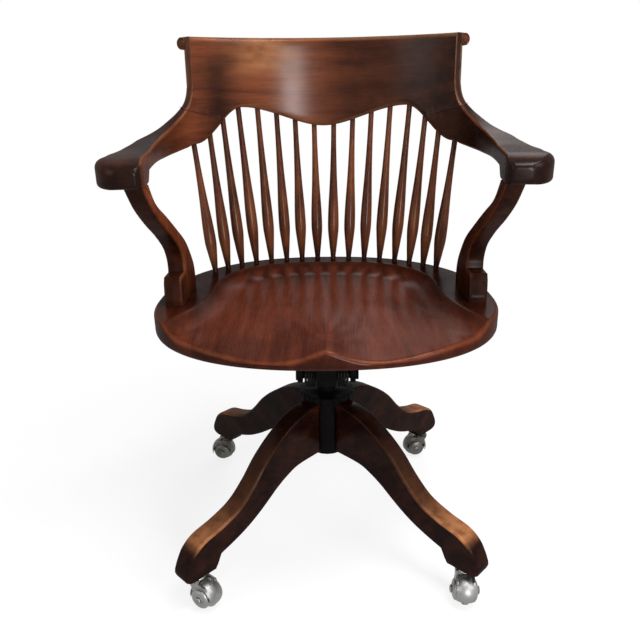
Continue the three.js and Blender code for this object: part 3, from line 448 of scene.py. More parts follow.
def seat_rings():
    """Rings from the top's middle out over the rounded rim and in under the board. Each ring is
    the outline shrunk towards the middle, and the top's height is the rim's less the dish."""
    dish_line_wear, lip_wear, low_edge_wear = 0.25, 0.75, 0.2
    angle = round_angles(seat_around)
    rings, wear_and_sheen = [], []

    def ring(x, y, z, rubbed):
        """Adds a ring of points and how much they are rubbed."""
        rings.append(np.stack([x, y, np.broadcast_to(z, x.shape)], -1))
        wear_and_sheen.append(np.broadcast_to(rubbed, x.shape))

    def shrunk(x, y, share):
        """The outline drawn in to a share of its size about its middle."""
        return x * share, seat_widest_y + (y - seat_widest_y) * share

    inner_x, inner_y = seat_edge(angle, seat_top_round)
    for share in np.linspace(0.01, 1.0, seat_across) ** 0.8:
        x, y = shrunk(inner_x, inner_y, share)
        ring(x, y, seat_top - dish_at(x, y), dish_line_wear * bell(dish_shares(x, y), 1.0, 0.02))
    lip = seat_top - dish_at(inner_x, inner_y)
    for turn in np.radians(np.linspace(12, 90, 7)):
        x, y = seat_edge(angle, seat_top_round * (1 - math.sin(turn)))
        ring(x, y, lip - seat_top_round * (1 - math.cos(turn)), lip_wear * math.sin(2 * turn) ** 2)
    for turn in np.radians(np.linspace(0, 90, 7)):
        x, y = seat_edge(angle, seat_bottom_round * (1 - math.cos(turn)))
        z = seat_bottom + seat_bottom_round * (1 - math.sin(turn))
        ring(x, y, z, low_edge_wear * math.sin(2 * turn) ** 2)
    under_x, under_y = seat_edge(angle, seat_bottom_round)
    for share in (0.8, 0.5, 0.2):
        ring(*shrunk(under_x, under_y, share), seat_bottom, 0.0)
    return np.array(rings), np.array(wear_and_sheen)


rings, wear_and_sheen = seat_rings()
x, y = rings[..., 0], rings[..., 1]
# The grain runs from back to front, and the rim has darkened where nobody sits: round the
# spindles' feet and at the arm supports. The edge and the underside are darker too.
seat_grain = rings[..., [1, 0, 2]]
front_rim_soil, edge_darkening, seat_wear = 0.62, 0.75, 0.22
rim = rising(dish_shares(x, y), 0.84, 0.18)
back = front_rim_soil + (1 - front_rim_soil) * rising(y, -0.13, 0.08)
edge = edge_darkening * rising(np.arange(len(rings)), seat_across + 2, 6)[:, None]
# Inside the dish, painted shade: darker streaks before the spindles, for their shadows and dark
# reflections. It is also darker towards the right side.
painted_streak_spacing, painted_streak_least, painted_streak_share, side_darkening = 0.027, 0.35, 0.8, 0.6
painted_spindle_streak = painted_streak_least + (1 - painted_streak_least) * np.cos(x * math.pi / painted_streak_spacing) ** 2
painted_spindle_streak *= painted_streak_share * rising(y, 0.02, 0.12)
side_dark = side_darkening * rising(x, 0.09, 0.07) * rising(y, -0.14, 0.1)
seat_soil_and_shade = np.max([rim * back, edge + 0 * rim, painted_spindle_streak, side_dark], axis=0)
seat = skin("seat_board", [rings], [seat_grain], [wear_and_sheen * seat_wear], [seat_soil_and_shade])
set_piece(seat, seat_wood, "top", "seat_wood", "seat")

# The bow: a crest panel and two arms, sawn from thick stock to one plan curve, glued at slanted
# seams, with a roll along the crest's top, rounded arrises and broad flat arm ends.
bow_back_y = 0.218
bow_arc_radius = 0.339
crest_half_width = 0.219
crest_top = 0.842
arm_top = 0.681
arm_tip = (0.225, -0.208)
arm_tip_inturn = 7.0
arm_first_pull = 0.085
arm_last_pull = 0.165
crest_thickness = 0.022
arm_width = 0.065
arm_middle_width = 0.042
arm_end_bottom = 0.645
arm_underside = 0.656
crest_end_low = 0.670
crest_arch_high = 0.728
crest_arch_x = 0.145
crest_centre_low = 0.693
sweep_top_share = 0.565
crest_lean = 0.03
crest_top_round = 0.012
arm_top_round = 0.014
arm_inner_round = 0.005
bow_bottom_round = 0.006
block_inner_round = 0.0015
bead_radius = 0.010
bead_out = 0.004
bead_start = -113.0
arm_tip_outer_round = 0.038
arm_tip_inner_round = 0.009
arm_tip_inner_run = 0.016
arm_tip_fall = 0.016
arm_tip_fall_run = 0.032
seam_x = 0.176
seam_inner_height = 0.710
seam_outer_height = 0.723
seam_gap = 0.0002
sweep_top = arm_top + sweep_top_share * (crest_top - arm_top)
arc_centre_y = bow_back_y - bow_arc_radius
crest_end_angle = math.asin(crest_half_width / bow_arc_radius)
arm_block_shares = (0.8, 0.87)
# Along the arm from 0 at the crest's end to 1 at its tip, as on a maker's rod: what is left of
# the sweep in the top edge and of the rise in the lower edge, and the shares of the width.
sweep_shares = [
    (0, 1), (0.012, 0.82), (0.03, 0.67), (0.06, 0.55), (0.13, 0.39), (0.25, 0.22), (0.42, 0.1),
    (0.6, 0.035), (0.74, 0), (1, 0),
]
under_shares = [(0, 1), (0.08, 0.62), (0.2, 0.25), (0.4, 0), (1, 0)]
width_shares = [(0, 0), (0.25, 0.3), (0.5, 1), (1, 1)]
tip_width_shares = [(0, 0), (0.5, 0), (0.75, 0.5), (0.9, 0.9), (1, 1)]


def along(table, t):
    """A cubic through the rows (t, value) of a table, level where its rows are."""
    rows = np.array(table, float)
    at, value = rows[:, 0], rows[:, 1]
    before, after = np.maximum(np.arange(len(at)) - 1, 0), np.minimum(np.arange(len(at)) + 1, len(at) - 1)
    slope = (value[after] - value[before]) / (at[after] - at[before])
    slope[(value - value[before]) * (value[after] - value) <= 0] = 0.0
    i = np.clip(np.searchsorted(at, t, side="right") - 1, 0, len(at) - 2)
    width = at[i + 1] - at[i]
    s = np.clip((t - at[i]) / width, 0.0, 1.0)
    rise = s * s * (3 - 2 * s)
    bends = s * (1 - s) ** 2 * slope[i] * width + s * s * (s - 1) * slope[i + 1] * width
    return value[i] * (1 - rise) + value[i + 1] * rise + bends


def arm_line(t):
    """The arm's inner edge in plan: a cubic Bezier curve, with its outward direction."""
    turn = math.radians(arm_tip_inturn)
    p0 = np.array([crest_half_width, arc_centre_y + bow_arc_radius * math.cos(crest_end_angle)])
    p1 = p0 + arm_first_pull * np.array([math.cos(crest_end_angle), -math.sin(crest_end_angle)])
    p3 = np.array(arm_tip)
    p2 = p3 + arm_last_pull * np.array([math.sin(turn), math.cos(turn)])
    t = t[:, None]
    at = (1 - t) ** 3 * p0 + 3 * (1 - t) ** 2 * t * p1 + 3 * (1 - t) * t ** 2 * p2 + t ** 3 * p3
    run = 3 * (1 - t) ** 2 * (p1 - p0) + 6 * (1 - t) * t * (p2 - p1) + 3 * t ** 2 * (p3 - p2)
    run = unit(run)
    return at, np.stack([-run[:, 1], run[:, 0]], -1)


def crest_underside(x):
    """The wavy lower edge: low at the middle, a high arch each side, and down to the arm."""
    distance = np.abs(x)
    wave = crest_centre_low + (crest_arch_high - crest_centre_low) * rising(distance, 0.0, crest_arch_x)
    past = rising(distance, crest_arch_x, crest_half_width - crest_arch_x)
    falling = crest_arch_high + (crest_end_low - crest_arch_high) * past
    return np.where(distance < crest_arch_x, wave, falling)


def round_in(depth, length, from_tip):
    """How far a corner has drawn in at a distance from the arm's end: a quarter of an ellipse,
    whose long side lies along the arm."""
    left = np.clip(1.0 - from_tip / length, 0.0, 1.0)
    return depth * (1.0 - np.sqrt(1.0 - left ** 2))


fine = np.linspace(0.0, 1.0, 400)
arm_length = np.linalg.norm(np.diff(arm_line(fine)[0], axis=0), axis=1).sum()


def crest_stations(angle):
    """The bow's right half along the arc: place, outward direction and the section's sizes."""
    direction = np.stack([np.sin(angle), np.cos(angle)], -1)
    at = direction * bow_arc_radius + np.array([0.0, arc_centre_y])
    like = np.ones(len(angle))
    return {
        "at": at, "out": direction, "inner": 0 * like, "outer": crest_thickness * like,
        "bottom": crest_underside(at[:, 0]), "top": crest_top * like,
        "back_round": crest_top_round * like, "front_round": crest_top_round * like,
        "low_round": bow_bottom_round * like, "bead": like, "run": angle * bow_arc_radius,
    }


def arm_stations(t, from_tip):
    """The same along the arm, whose end is rounded in plan and over its edges."""
    at, direction = arm_line(t)
    middle = crest_thickness + (arm_middle_width - crest_thickness) * along(width_shares, t)
    width = middle + (arm_width - middle) * along(tip_width_shares, t)
    block = rising(t, arm_block_shares[0], arm_block_shares[1] - arm_block_shares[0])
    under = arm_underside + (crest_end_low - arm_underside) * along(under_shares, t)
    bottom = under + (arm_end_bottom - under) * block
    top = arm_top + along(sweep_shares, t) * (sweep_top - arm_top)
    like = np.ones(len(t))
    return {
        "at": at, "out": direction, "inner": round_in(arm_tip_inner_round, arm_tip_inner_run, from_tip),
        "outer": width - round_in(arm_tip_outer_round, arm_tip_outer_round, from_tip),
        "bottom": bottom + round_in(bow_bottom_round, bow_bottom_round, from_tip),
        "top": top - round_in(arm_tip_fall, arm_tip_fall_run, from_tip),
        "back_round": arm_top_round * like, "front_round": arm_inner_round * like,
        "low_round": bow_bottom_round + (block_inner_round - bow_bottom_round) * block, "bead": 0 * like,
        "run": crest_end_angle * bow_arc_radius + t * arm_length,
    }


def bow_sections(s):
    """Rings round the bow: four arcs joined by straight runs, the outer upper one a roll along
    the crest. Each arc is its centre plus its radius times the cosine and sine of an angle."""
    narrow = np.minimum((s["outer"] - s["inner"]) / 3, (s["top"] - s["bottom"]) / 3)
    low = np.minimum(bow_bottom_round, narrow)[:, None]
    low_in = np.minimum(s["low_round"], narrow)[:, None]
    high = np.minimum(s["front_round"], narrow)[:, None]
    back = np.minimum(s["back_round"], narrow)[:, None]
    bead = s["bead"][:, None]
    inner, outer, bottom, top = (s[k][:, None] for k in ("inner", "outer", "bottom", "top"))
    roll = back * (1 - bead) + bead_radius * bead
    roll_out = (outer - roll) * (1 - bead) + (outer + bead_out) * bead
    quarter = np.linspace(0.0, 1.0, 7)[None, :]
    long = np.linspace(0.0, 1.0, 17)[None, :]
    level = np.linspace(0.06, 0.94, 12)[None, :]
    ones = np.ones_like(inner)

    def arc(u, v, radius, start, end, steps):
        """Points round a centre, with a share for wear and painted sheen that is greatest at the arc's
        middle.
        """
        turn = np.radians(start + (end - start) * steps)
        return u + radius * np.cos(turn), v + radius * np.sin(turn), np.sin(np.pi * steps) * ones

    def straight(u0, v0, u1, v1):
        """Points along a straight run, with none of that share."""
        return u0 + (u1 - u0) * level, v0 + (v1 - v0) * level, 0 * level * ones

    start = bead_start * bead
    roll_u, roll_v, roll_w = arc(roll_out, top - roll, roll, start, 90 * ones, long)
    parts = [
        arc(inner + low_in, bottom + low_in, low_in, 180 * ones, 270 * ones, quarter),
        arc(outer - low, bottom + low, low, 270 * ones, 360 * ones, quarter),
        straight(outer, bottom + low, roll_u[:, :1], roll_v[:, :1]),
        (roll_u, roll_v, roll_w),
        arc(inner + high, top - high, high, 90 * ones, 180 * ones, quarter),
        straight(inner, top - high, inner, bottom + low_in),
    ]
    n, z, w = (np.concatenate([p[k] for p in parts], 1) for k in range(3))
    lean = crest_lean * np.maximum(z - arm_top, 0.0)
    x = s["at"][:, :1] + s["out"][:, :1] * n
    y = s["at"][:, 1:] + s["out"][:, 1:] * n + lean
    grain = np.stack([s["run"][:, None] + 0 * n, n, z], -1)
    return np.stack([x, y, z], -1), grain, w


crest_steps = 110
crest_end_step = 0.0005
angles = np.linspace(0.0, crest_end_angle, crest_steps)
rounding = arm_tip_outer_round / arm_length
root = 2 * crest_end_step / arm_length
shares = root + (1 - rounding - root) * np.linspace(0, 1, 90) ** 1.5
tip_shares = 1 - rounding * (1 - np.sin(np.linspace(0.0, math.pi / 2, 26)[1:]))
shares = np.concatenate([shares, tip_shares])
# One more ring as high as the crest closes the roll's end with a flat face.
close = arm_stations(np.array([root / 2]), np.array([arm_length]))
close["top"] = np.array([crest_top])
halves = [crest_stations(angles), close, arm_stations(shares, (1 - shares) * arm_length)]
half = {key: np.concatenate([h[key] for h in halves]) for key in halves[0]}
half_rings, half_grain, half_edge_share = bow_sections(half)
flip = np.array([-1.0, 1.0, 1.0])
seam_slope = (seam_outer_height - seam_inner_height) / (crest_half_width - seam_x)
seam_station = int(np.searchsorted(half["at"][:crest_steps, 0], seam_x))
crest_last = crest_steps + int(np.searchsorted(-half["top"][crest_steps:], -(seam_outer_height + 0.006)))


def seam_height(points):
    """The height of the slanted glue seam over a point."""
    return seam_inner_height + seam_slope * (np.abs(points[..., 0]) - seam_x)


def turned(profile, start, end, around=40):
    """A lathe's surface: the profile's rows (distance along, radius) turned about start to end."""
    axis = unit(end - start)
    side = unit(np.cross(axis, [0.0, 1.0, 0.0] if abs(axis[1]) < 0.9 else [1.0, 0.0, 0.0]))
    other = np.cross(axis, side)
    angle = round_angles(around)
    circle = np.cos(angle)[:, None] * side + np.sin(angle)[:, None] * other
    reach, radius = np.asarray(profile, float).T
    return start + reach[:, None, None] * axis + radius[:, None, None] * circle[None, :, :]


# The crest is the bow between the seams, with what is below a seam pressed up flat onto it.
crest_half = half_rings[:crest_last].copy()
beyond = crest_half[seam_station:]
beyond[..., 2] = np.maximum(beyond[..., 2], seam_height(beyond) + seam_gap)
crest_rings = np.concatenate([(crest_half[1:] * flip)[::-1], crest_half])
crest_grain = np.concatenate([(half_grain[1:crest_last] * flip)[::-1], half_grain[:crest_last]])
# The crest's arrises are worn, and the light line along its ends' inner arris is also painted sheen.
crest_edge_wear_and_sheen = 0.25
crest_wear_and_sheen = np.concatenate([half_edge_share[1:crest_last][::-1], half_edge_share[:crest_last]]) * crest_edge_wear_and_sheen


def bow_soil_and_shade(points, grain):
    """How much darker the bow is. With age: in a patch near the crest's left end, and along the arms,
    where the tops and outer faces have gone darker than the inner ones. Painted shade: over the
    crest's right half and the right arm, which face away from the key lamp. The arms' ends are darker too."""
    x, y, z = (points[..., k] for k in range(3))
    held_soil, painted_shade_share, painted_shade_more, inner_soil, tip_darkening = 0.85, 0.76, 0.2, 0.5, 1.15
    past = grain[..., 0] - crest_end_angle * bow_arc_radius
    held = held_soil * bell(x, -0.182, 0.03) * rising(z, 0.822, -0.03)
    # Painted shade over the crest's right half and the right arm.
    painted_shade = (painted_shade_share + painted_shade_more * rising(x, 0.10, 0.08)) * rising(x, -0.05, 0.11)
    inner_face = inner_soil * rising(past, 0.0, 0.10)
    outer_face = rising(past, -0.004, 0.02) * rising(grain[..., 1], 0.0, 0.005)
    tip = tip_darkening * rising(y, -0.19, -0.015)
    return np.max([held, painted_shade, inner_face, outer_face, tip], axis=0)


# A painted highlight: a light patch of sheen left of the crest's middle, drawn in with the worn colour.
painted_highlight_share = 0.45
painted_highlight = painted_highlight_share * rising(crest_rings[..., 2], 0.765, 0.04)
painted_highlight *= bell(crest_rings[..., 0], -0.105, 0.045)
crest_soil_and_shade = bow_soil_and_shade(crest_rings, np.abs(crest_grain))
crest_wood = varnished(
    "crest_wood", (0.138, 0.038, 0.014), (0.046, 0.011, 0.005), (0.36, 0.16, 0.065),
    patches=0.7, gloss=0.20, relief=0.00004,
)
# A small turned button closes each end of the roll.
button_radius = 0.0098
button_turn = 0.33
button_profile = [
    (-0.004, button_radius), (0.0038, button_radius), (0.0047, button_radius - 0.0005),
    (0.0050, button_radius - 0.0018), (0.0041, button_radius - 0.0028), (0.0041, button_radius - 0.0040),
    (0.0054, button_radius - 0.0050), (0.0058, 0.0004),
]
roll_end = crest_stations(np.array([crest_end_angle]))
roll_height = crest_top - bead_radius
roll_place = roll_end["at"][0] + roll_end["out"][0] * (crest_thickness + bead_out)
button_from = np.array([
    roll_place[0], roll_place[1] + crest_lean * (roll_height - arm_top), roll_height,
])
button_facing = crest_end_angle + button_turn
roll_axis = np.array([math.cos(button_facing), -math.sin(button_facing), 0.0])
button = turned(button_profile, button_from, button_from + roll_axis)
crest = skin(
    "crest_board", [crest_rings, button, button * flip], [crest_grain, button, button * flip],
    [np.maximum(crest_wear_and_sheen, painted_highlight), 0.05, 0.05], [crest_soil_and_shade, 0.6, 0.6],
)
set_piece(crest, crest_wood, "top", "crest_wood", "crest_panel")

# The arms are the rest, without the roll, with what is above a seam pressed down onto it.
plain_half = {key: values[seam_station:] for key, values in half.items()}
plain_half["bead"] = 0 * plain_half["bead"]
arm_half, arm_grain, arm_edge_share = bow_sections(plain_half)
arm_half[..., 2] = np.minimum(arm_half[..., 2], seam_height(arm_half) - seam_gap)
arm_wood = varnished(
    "arm_wood", (0.140, 0.037, 0.013), (0.050, 0.012, 0.006), (0.26, 0.09, 0.035),
    patches=0.6, gloss=0.16, relief=0.00003, blur=0.27,
)
# Wear on the arms' arrises, which also paints the light highlight line along their inner arris.
arm_edge_wear_and_sheen = 0.22
for side, name in ((1.0, "right"), (-1.0, "left")):
    rings = arm_half * np.array([side, 1.0, 1.0])
    grain = arm_grain + np.array([0.7 * side, 0.0, 0.0])
    # The right arm takes the crest's painted shade as well.
    arm_soil_and_shade = bow_soil_and_shade(rings, arm_grain)
    arm_wear_and_sheen = arm_edge_wear_and_sheen * arm_edge_share * rising(rings[..., 1], -0.195, 0.03)
    arm = skin("arm_board_" + name, [rings], [grain], [arm_wear_and_sheen], [arm_soil_and_shade])
    set_piece(arm, arm_wood, "top", "arm_wood", "arm_" + name)

# The spindles: sixteen wooden sticks turned on the lathe, slender at the top and swelling a
# quarter of the way up, let into round holes in the seat's rim and the bow's lower edge.
spindle_count = 16
spindle_belly_radius = 0.0103
spindle_foot_inset = 0.018
spindle_foot_spacing = 0.0297
spindle_top_spacing = 0.0362
spindle_ends = (-0.02, 1.03)
spindle_steps = 72
spindle_dark_share = 0.14
spindle_shares = [
    (0, 0.45), (0.03, 0.49), (0.12, 0.74), (0.25, 1), (0.37, 0.94), (0.6, 0.66), (0.85, 0.48), (1, 0.456),
]


def spaced(line, spacing):
    """Points along a line that starts at the middle, at half a spacing and then every spacing."""
    length = np.concatenate([[0.0], np.cumsum(np.linalg.norm(np.diff(line, axis=0), axis=1))])
    wanted = spacing * (np.arange(spindle_count // 2) + 0.5)
    return np.stack([np.interp(wanted, length, line[:, k]) for k in range(3)], -1)


turns = np.radians(90.0 - 90.0 * fine)
foot_x, foot_y = seat_edge(turns, spindle_foot_inset)
feet = spaced(np.stack([foot_x, foot_y, np.full(len(turns), seat_top)], -1), spindle_foot_spacing)
arc_part = crest_stations(fine * crest_end_angle)
arm_part = arm_stations(fine[1:], np.full(len(fine) - 1, arm_length))
middle_line = []
for part in (arc_part, arm_part):
    plan = part["at"] + part["out"] * (part["inner"] + crest_thickness / 2)[:, None]
    middle_line.append(np.column_stack([plan, part["bottom"]]))
heads = spaced(np.concatenate(middle_line), spindle_top_spacing)
spindle_wood = varnished(
    "spindle_wood", (0.125, 0.037, 0.013), (0.022, 0.006, 0.004), (0.30, 0.12, 0.05),
    patches=0.9, gloss=0.18, relief=0.00005,
)
for number in range(1, spindle_count + 1):
    from_middle = number - (spindle_count + 1) / 2
    k = int(abs(from_middle) - 0.5)
    flip_side = np.array([math.copysign(1.0, from_middle), 1.0, 1.0])
    foot, head = feet[k] * flip_side, heads[k] * flip_side
    length = np.linalg.norm(head - foot)
    # Each stick runs on a little way into the seat and the bow.
    reach = np.linspace(*spindle_ends, spindle_steps)
    radius = spindle_belly_radius * along(spindle_shares, reach)
    rings = turned(np.column_stack([reach * length, radius]), foot, head)
    local = rings - foot
    lengthwise = local @ unit(head - foot)
    grain = np.stack([lengthwise + number, local[..., 0] + 0.1 * number, local[..., 1]], -1)
    name = "spindle_%02d" % number
    # Each stick is darker towards its foot.
    foot_darkening = rising(lengthwise / length, spindle_dark_share, -spindle_dark_share)
    piece = skin("turned_" + name, [rings], [grain], None, [foot_darkening])
    set_piece(piece, spindle_wood, "top", "spindle_wood", name)

# The arm supports: planks sawn to an S, leaning out a little, with a stepped foot on the seat's
# rim and their heads under the arms, the arrises rounded and rubbed.
support_thickness = 0.028
support_foot_x = 0.231
support_lean = math.radians(3.9)
support_top_y = -0.172
support_foot_y = 0.045
support_arris = 0.004
support_gap = 0.0003
support_front_shares = [
    (1.09, 1.05), (1, 0.915), (0.914, 0.81), (0.76, 0.68), (0.57, 0.545), (0.42, 0.41), (0.374, 0.3),
    (0.385, 0.215),
]
support_step_shares = [(0.52, 0.215), (0.555, 0.17), (0.6, 0.05), (0.605, -0.05)]
support_back_shares = [
    (0.13, -0.05), (0.085, 0.08), (0.08, 0.19), (0.138, 0.31), (0.24, 0.44), (0.43, 0.58),
    (0.635, 0.72), (0.835, 0.85), (0.92, 0.97), (0.95, 1.05),
]


def through(points, steps):
    """A Catmull-Rom curve through points, in equal steps of its parameter."""
    p = np.array(points, float)
    p = np.concatenate([2 * p[:1] - p[1:2], p, 2 * p[-1:] - p[-2:-1]])
    u = np.linspace(0.0, len(points) - 1, steps + 1)
    i = np.minimum(u.astype(int), len(points) - 2)
    f = (u - i)[:, None]
    a, b, c, d = p[i], p[i + 1], p[i + 2], p[i + 3]
    square, cube = 2 * a - 5 * b + 4 * c - d, 3 * b - a - 3 * c + d
    return 0.5 * (2 * b + (c - a) * f + square * f ** 2 + cube * f ** 3)


def evenly(points, spacing):
    """A closed outline's points set out again at about the same spacing, keeping its corners."""
    closed = np.concatenate([points, points[:1]])
    out = []
    for a, b in zip(closed[:-1], closed[1:]):
        count = max(int(math.ceil(np.linalg.norm(b - a) / spacing)), 1)
        out.append(a + (b - a) * np.linspace(0.0, 1.0, count, endpoint=False)[:, None])
    return np.concatenate(out)


def between(line, low, high):
    """The part of a line that lies between two heights, with the points where it crosses them."""
    step = np.diff(line, axis=0)
    at = [np.flatnonzero((line[:, 1] > low) & (line[:, 1] < high)).astype(float)]
    for height in (low, high):
        share = (height - line[:-1, 1]) / np.where(step[:, 1] == 0, 1.0, step[:, 1])
        hit = (share > 0) & (share < 1) & (step[:, 1] != 0)
        at.append(np.flatnonzero(hit) + share[hit])
    at = np.sort(np.concatenate(at))
    i = np.minimum(at.astype(int), len(step) - 1)
    kept = line[i] + step[i] * (at - i)[:, None]
    return np.column_stack([kept[:, 0], np.clip(kept[:, 1], low, high)])


face_inset = 1.4


def plank(outline, thickness, arris, steps=7, joints=()):
    """A board with a rounded arris: rings of the outline drawn in by r(1 - sin a) at a depth of
    r(1 - cos a) from each face, and by face_inset times r on it, with the wear of rounded edges.
    Points at a height in joints stay on that level joint face: its corners are drawn in along it,
    the rest not at all."""
    before, after = np.roll(outline, 1, axis=0), np.roll(outline, -1, axis=0)
    run = unit(after - before)
    inward = np.stack([-run[:, 1], run[:, 0]], -1)
    area = np.sum(outline[:, 0] * after[:, 1] - after[:, 0] * outline[:, 1])
    inward *= math.copysign(1.0, area)
    for height in joints:
        on = np.abs(outline[:, 1] - height) < 1e-7
        past = np.roll(on, 1)
        edge = np.where(past[:, None], after - outline, outline - before)
        level = edge[:, 1] == 0
        slant = np.abs(np.linalg.norm(edge, axis=1) / np.where(on & ~level, edge[:, 1], 1.0))
        inward[on, 0] = (np.sign(inward[:, 0]) * slant)[on]
        inward[on, 1] = 0.0
        inward[on & past & np.roll(on, -1)] = 0.0
    turn = np.linspace(0.0, math.pi / 2, steps)
    edge = np.concatenate([[face_inset * arris], arris * (1 - np.sin(turn))])
    drawn = np.concatenate([edge, edge[::-1]])
    fall = np.concatenate([[0.0], arris * (1 - np.cos(turn))])
    depth = np.concatenate([-thickness / 2 + fall, thickness / 2 - fall[::-1]])
    rub = np.concatenate([[0.0], np.sin(2 * turn)])
    flat = outline[None] + inward[None] * drawn[:, None, None]
    depth = np.broadcast_to(depth[:, None], flat.shape[:2])
    return flat[..., 0], flat[..., 1], depth, np.concatenate([rub, rub[::-1]])[:, None]


def by_shares(shares, low, high):
    """Rows (share, share) as places between the corners low and high."""
    low, high = np.array(low), np.array(high)
    return low + (high - low) * np.array(shares, float)


support_low = (support_foot_y, seat_top + support_gap)
support_high = (support_top_y, arm_end_bottom - support_gap)
ends = support_low[1], support_high[1]
outline = evenly(np.concatenate([
    between(through(by_shares(support_front_shares, support_low, support_high), 70), *ends),
    between(by_shares(support_step_shares, support_low, support_high), *ends),
    between(through(by_shares(support_back_shares, support_low, support_high), 70), *ends),
]), 0.004)
y, z, x, rubbed = plank(outline, support_thickness, support_arris, joints=ends)
# The board leans by a shear, so that both joint faces stay level.
leaned_x = support_foot_x + x / math.cos(support_lean) + (z - ends[0]) * math.tan(support_lean)
# The outer faces, the edges and the feet are nearly black, and the inner faces least dark.
support_darkening = np.maximum(rising(x, -0.0138, 0.0038), rising(z, seat_top + 0.050, -0.02))
support_wood = varnished(
    "support_wood", (0.150, 0.038, 0.014), (0.060, 0.014, 0.006), (0.26, 0.09, 0.035),
    patches=0.7, gloss=0.09, relief=0.00003, blur=0.3,
)
support_wear = 0.05
# The right board's inner face, which faces away from the key lamp, gets painted shade: at least 0.64 dark.
for side, name, painted_shade_least in ((1.0, "right", 0.64), (-1.0, "left", 0.0)):
    rings = np.stack([side * leaned_x, y, z], -1)
    grain = np.stack([z + 0.35 * (y + side), y - 0.35 * z, x + 0.3 * side], -1)
    soil_and_shade = np.maximum(support_darkening, painted_shade_least)
    piece = skin("support_board_" + name, [rings], [grain], [rubbed * support_wear], [soil_and_shade])
    set_piece(piece, support_wood, "top", "arm_wood", "arm_support_" + name)

# The legs: four boards sawn to a cyma curve with a rounded toe, their inner ends let into the
# hub's slots, stained dark on the sides and worn to a tan on their upper edges.
base_turn = 1.5
leg_reach = 0.326
leg_foot = 0.057
hub_top = 0.254
leg_thickness = 0.034
leg_arris = 0.0045
leg_top_shares = [
    (0.099, 1), (0.19, 0.99), (0.29, 0.94), (0.395, 0.838), (0.49, 0.71), (0.575, 0.555),
    (0.665, 0.43), (0.775, 0.36), (0.882, 0.318), (0.945, 0.25), (0.98, 0.16), (0.998, 0.09),
]
leg_toe_shares = [
    (1, 0.06), (0.993, 0.028), (0.978, 0.008), (0.955, 0), (0.829, 0), (0.812, 0.04),
]
leg_under_shares = [
    (0.79, 0.112), (0.7, 0.157), (0.617, 0.21), (0.538, 0.28), (0.475, 0.347), (0.418, 0.41),
    (0.348, 0.47), (0.266, 0.513), (0.099, 0.524),
]
outline = evenly(np.concatenate([
    through(by_shares(leg_top_shares, (0, leg_foot), (leg_reach, hub_top)), 90),
    by_shares(leg_toe_shares, (0, leg_foot), (leg_reach, hub_top)),
    through(by_shares(leg_under_shares, (0, leg_foot), (leg_reach, hub_top)), 70),
]), 0.004)
reach, z, depth, rubbed = plank(outline, leg_thickness, leg_arris)
# Feet and shoes have worn the upper edge and the toe's top, from a third of the way out. Only
# there does the outline run outwards.
outwards = unit(np.roll(outline, -1, axis=0) - np.roll(outline, 1, axis=0))[:, 0]
along_leg, inner_wear = outline[:, 0], 0.16
upper = rising(outwards * 1.6, 0.2, 1.0) * rising(along_leg, 0.10, 0.14)
upper *= rising(along_leg / leg_reach, 0.955, -0.06)
upper *= inner_wear + (1 - inner_wear) * rising(along_leg, 0.20, 0.09)
on_edge = np.broadcast_to(np.abs(depth) < leg_thickness / 2 - 1e-6, depth.shape)
flat_wear, arris_wear, worn_clean, upper_clean = 0.85, 0.3, 0.8, 0.55
leg_wear = np.clip((flat_wear + arris_wear * rubbed) * upper[None, :], 0.0, 1.0) * on_edge
leg_soil = 1.0 - np.maximum(worn_clean * leg_wear, upper_clean * upper[None, :] * on_edge)
leg_wood = varnished(
    "leg_wood", (0.100, 0.026, 0.012), (0.040, 0.011, 0.006), (0.32, 0.130, 0.052),
    patches=0.6, gloss=0.12, relief=0.00005,
)
leg_rub = {"front_left": 0.8, "front_right": 1.0, "rear_right": 0.8, "rear_left": 0.4}
# Each corner's leg points at the first angle plus the base's turn, and its wheel trails at the
# second.
corners = {
    "front_left": (225, 330), "front_right": (315, 265), "rear_right": (45, 185), "rear_left": (135, 175),
}
for number, (corner, (angle, _)) in enumerate(corners.items()):
    turn = math.radians(angle + base_turn)
    x = reach * math.cos(turn) - depth * math.sin(turn)
    y = reach * math.sin(turn) + depth * math.cos(turn)
    grain = np.stack([reach + 0.6 * z + number, z - 0.6 * reach, depth + 0.2 * number], -1)
    piece = skin(
        "leg_board_" + corner, [np.stack([x, y, z], -1)], [grain], [leg_wear * leg_rub[corner]], [leg_soil],
    )
    set_piece(piece, leg_wood, "base", "leg_wood", "leg_" + corner)

# The casters: a ridged wheel of nickelled iron under a hood, on an axle between two cheeks with
# broad domed bosses, trailing behind a stem that turns in a brass socket in the leg's toe.
caster_setback = 0.032
caster_trail = 0.013
wheel_radius = 0.0225
cheek_inner = 0.0106
cheek_outer = 0.0146
boss_radius = 0.0165
boss_height = 0.006
axle_radius = 0.0025
axle_head_radius = 0.0065
axle_head_height = 0.0026
crown_bottom = 0.0475
crown_top = 0.0544
crown_radius = 0.010
stem_radius = 0.004
stem_top = 0.0887
iron_arris = 0.0009
iron_arris_steps = 4


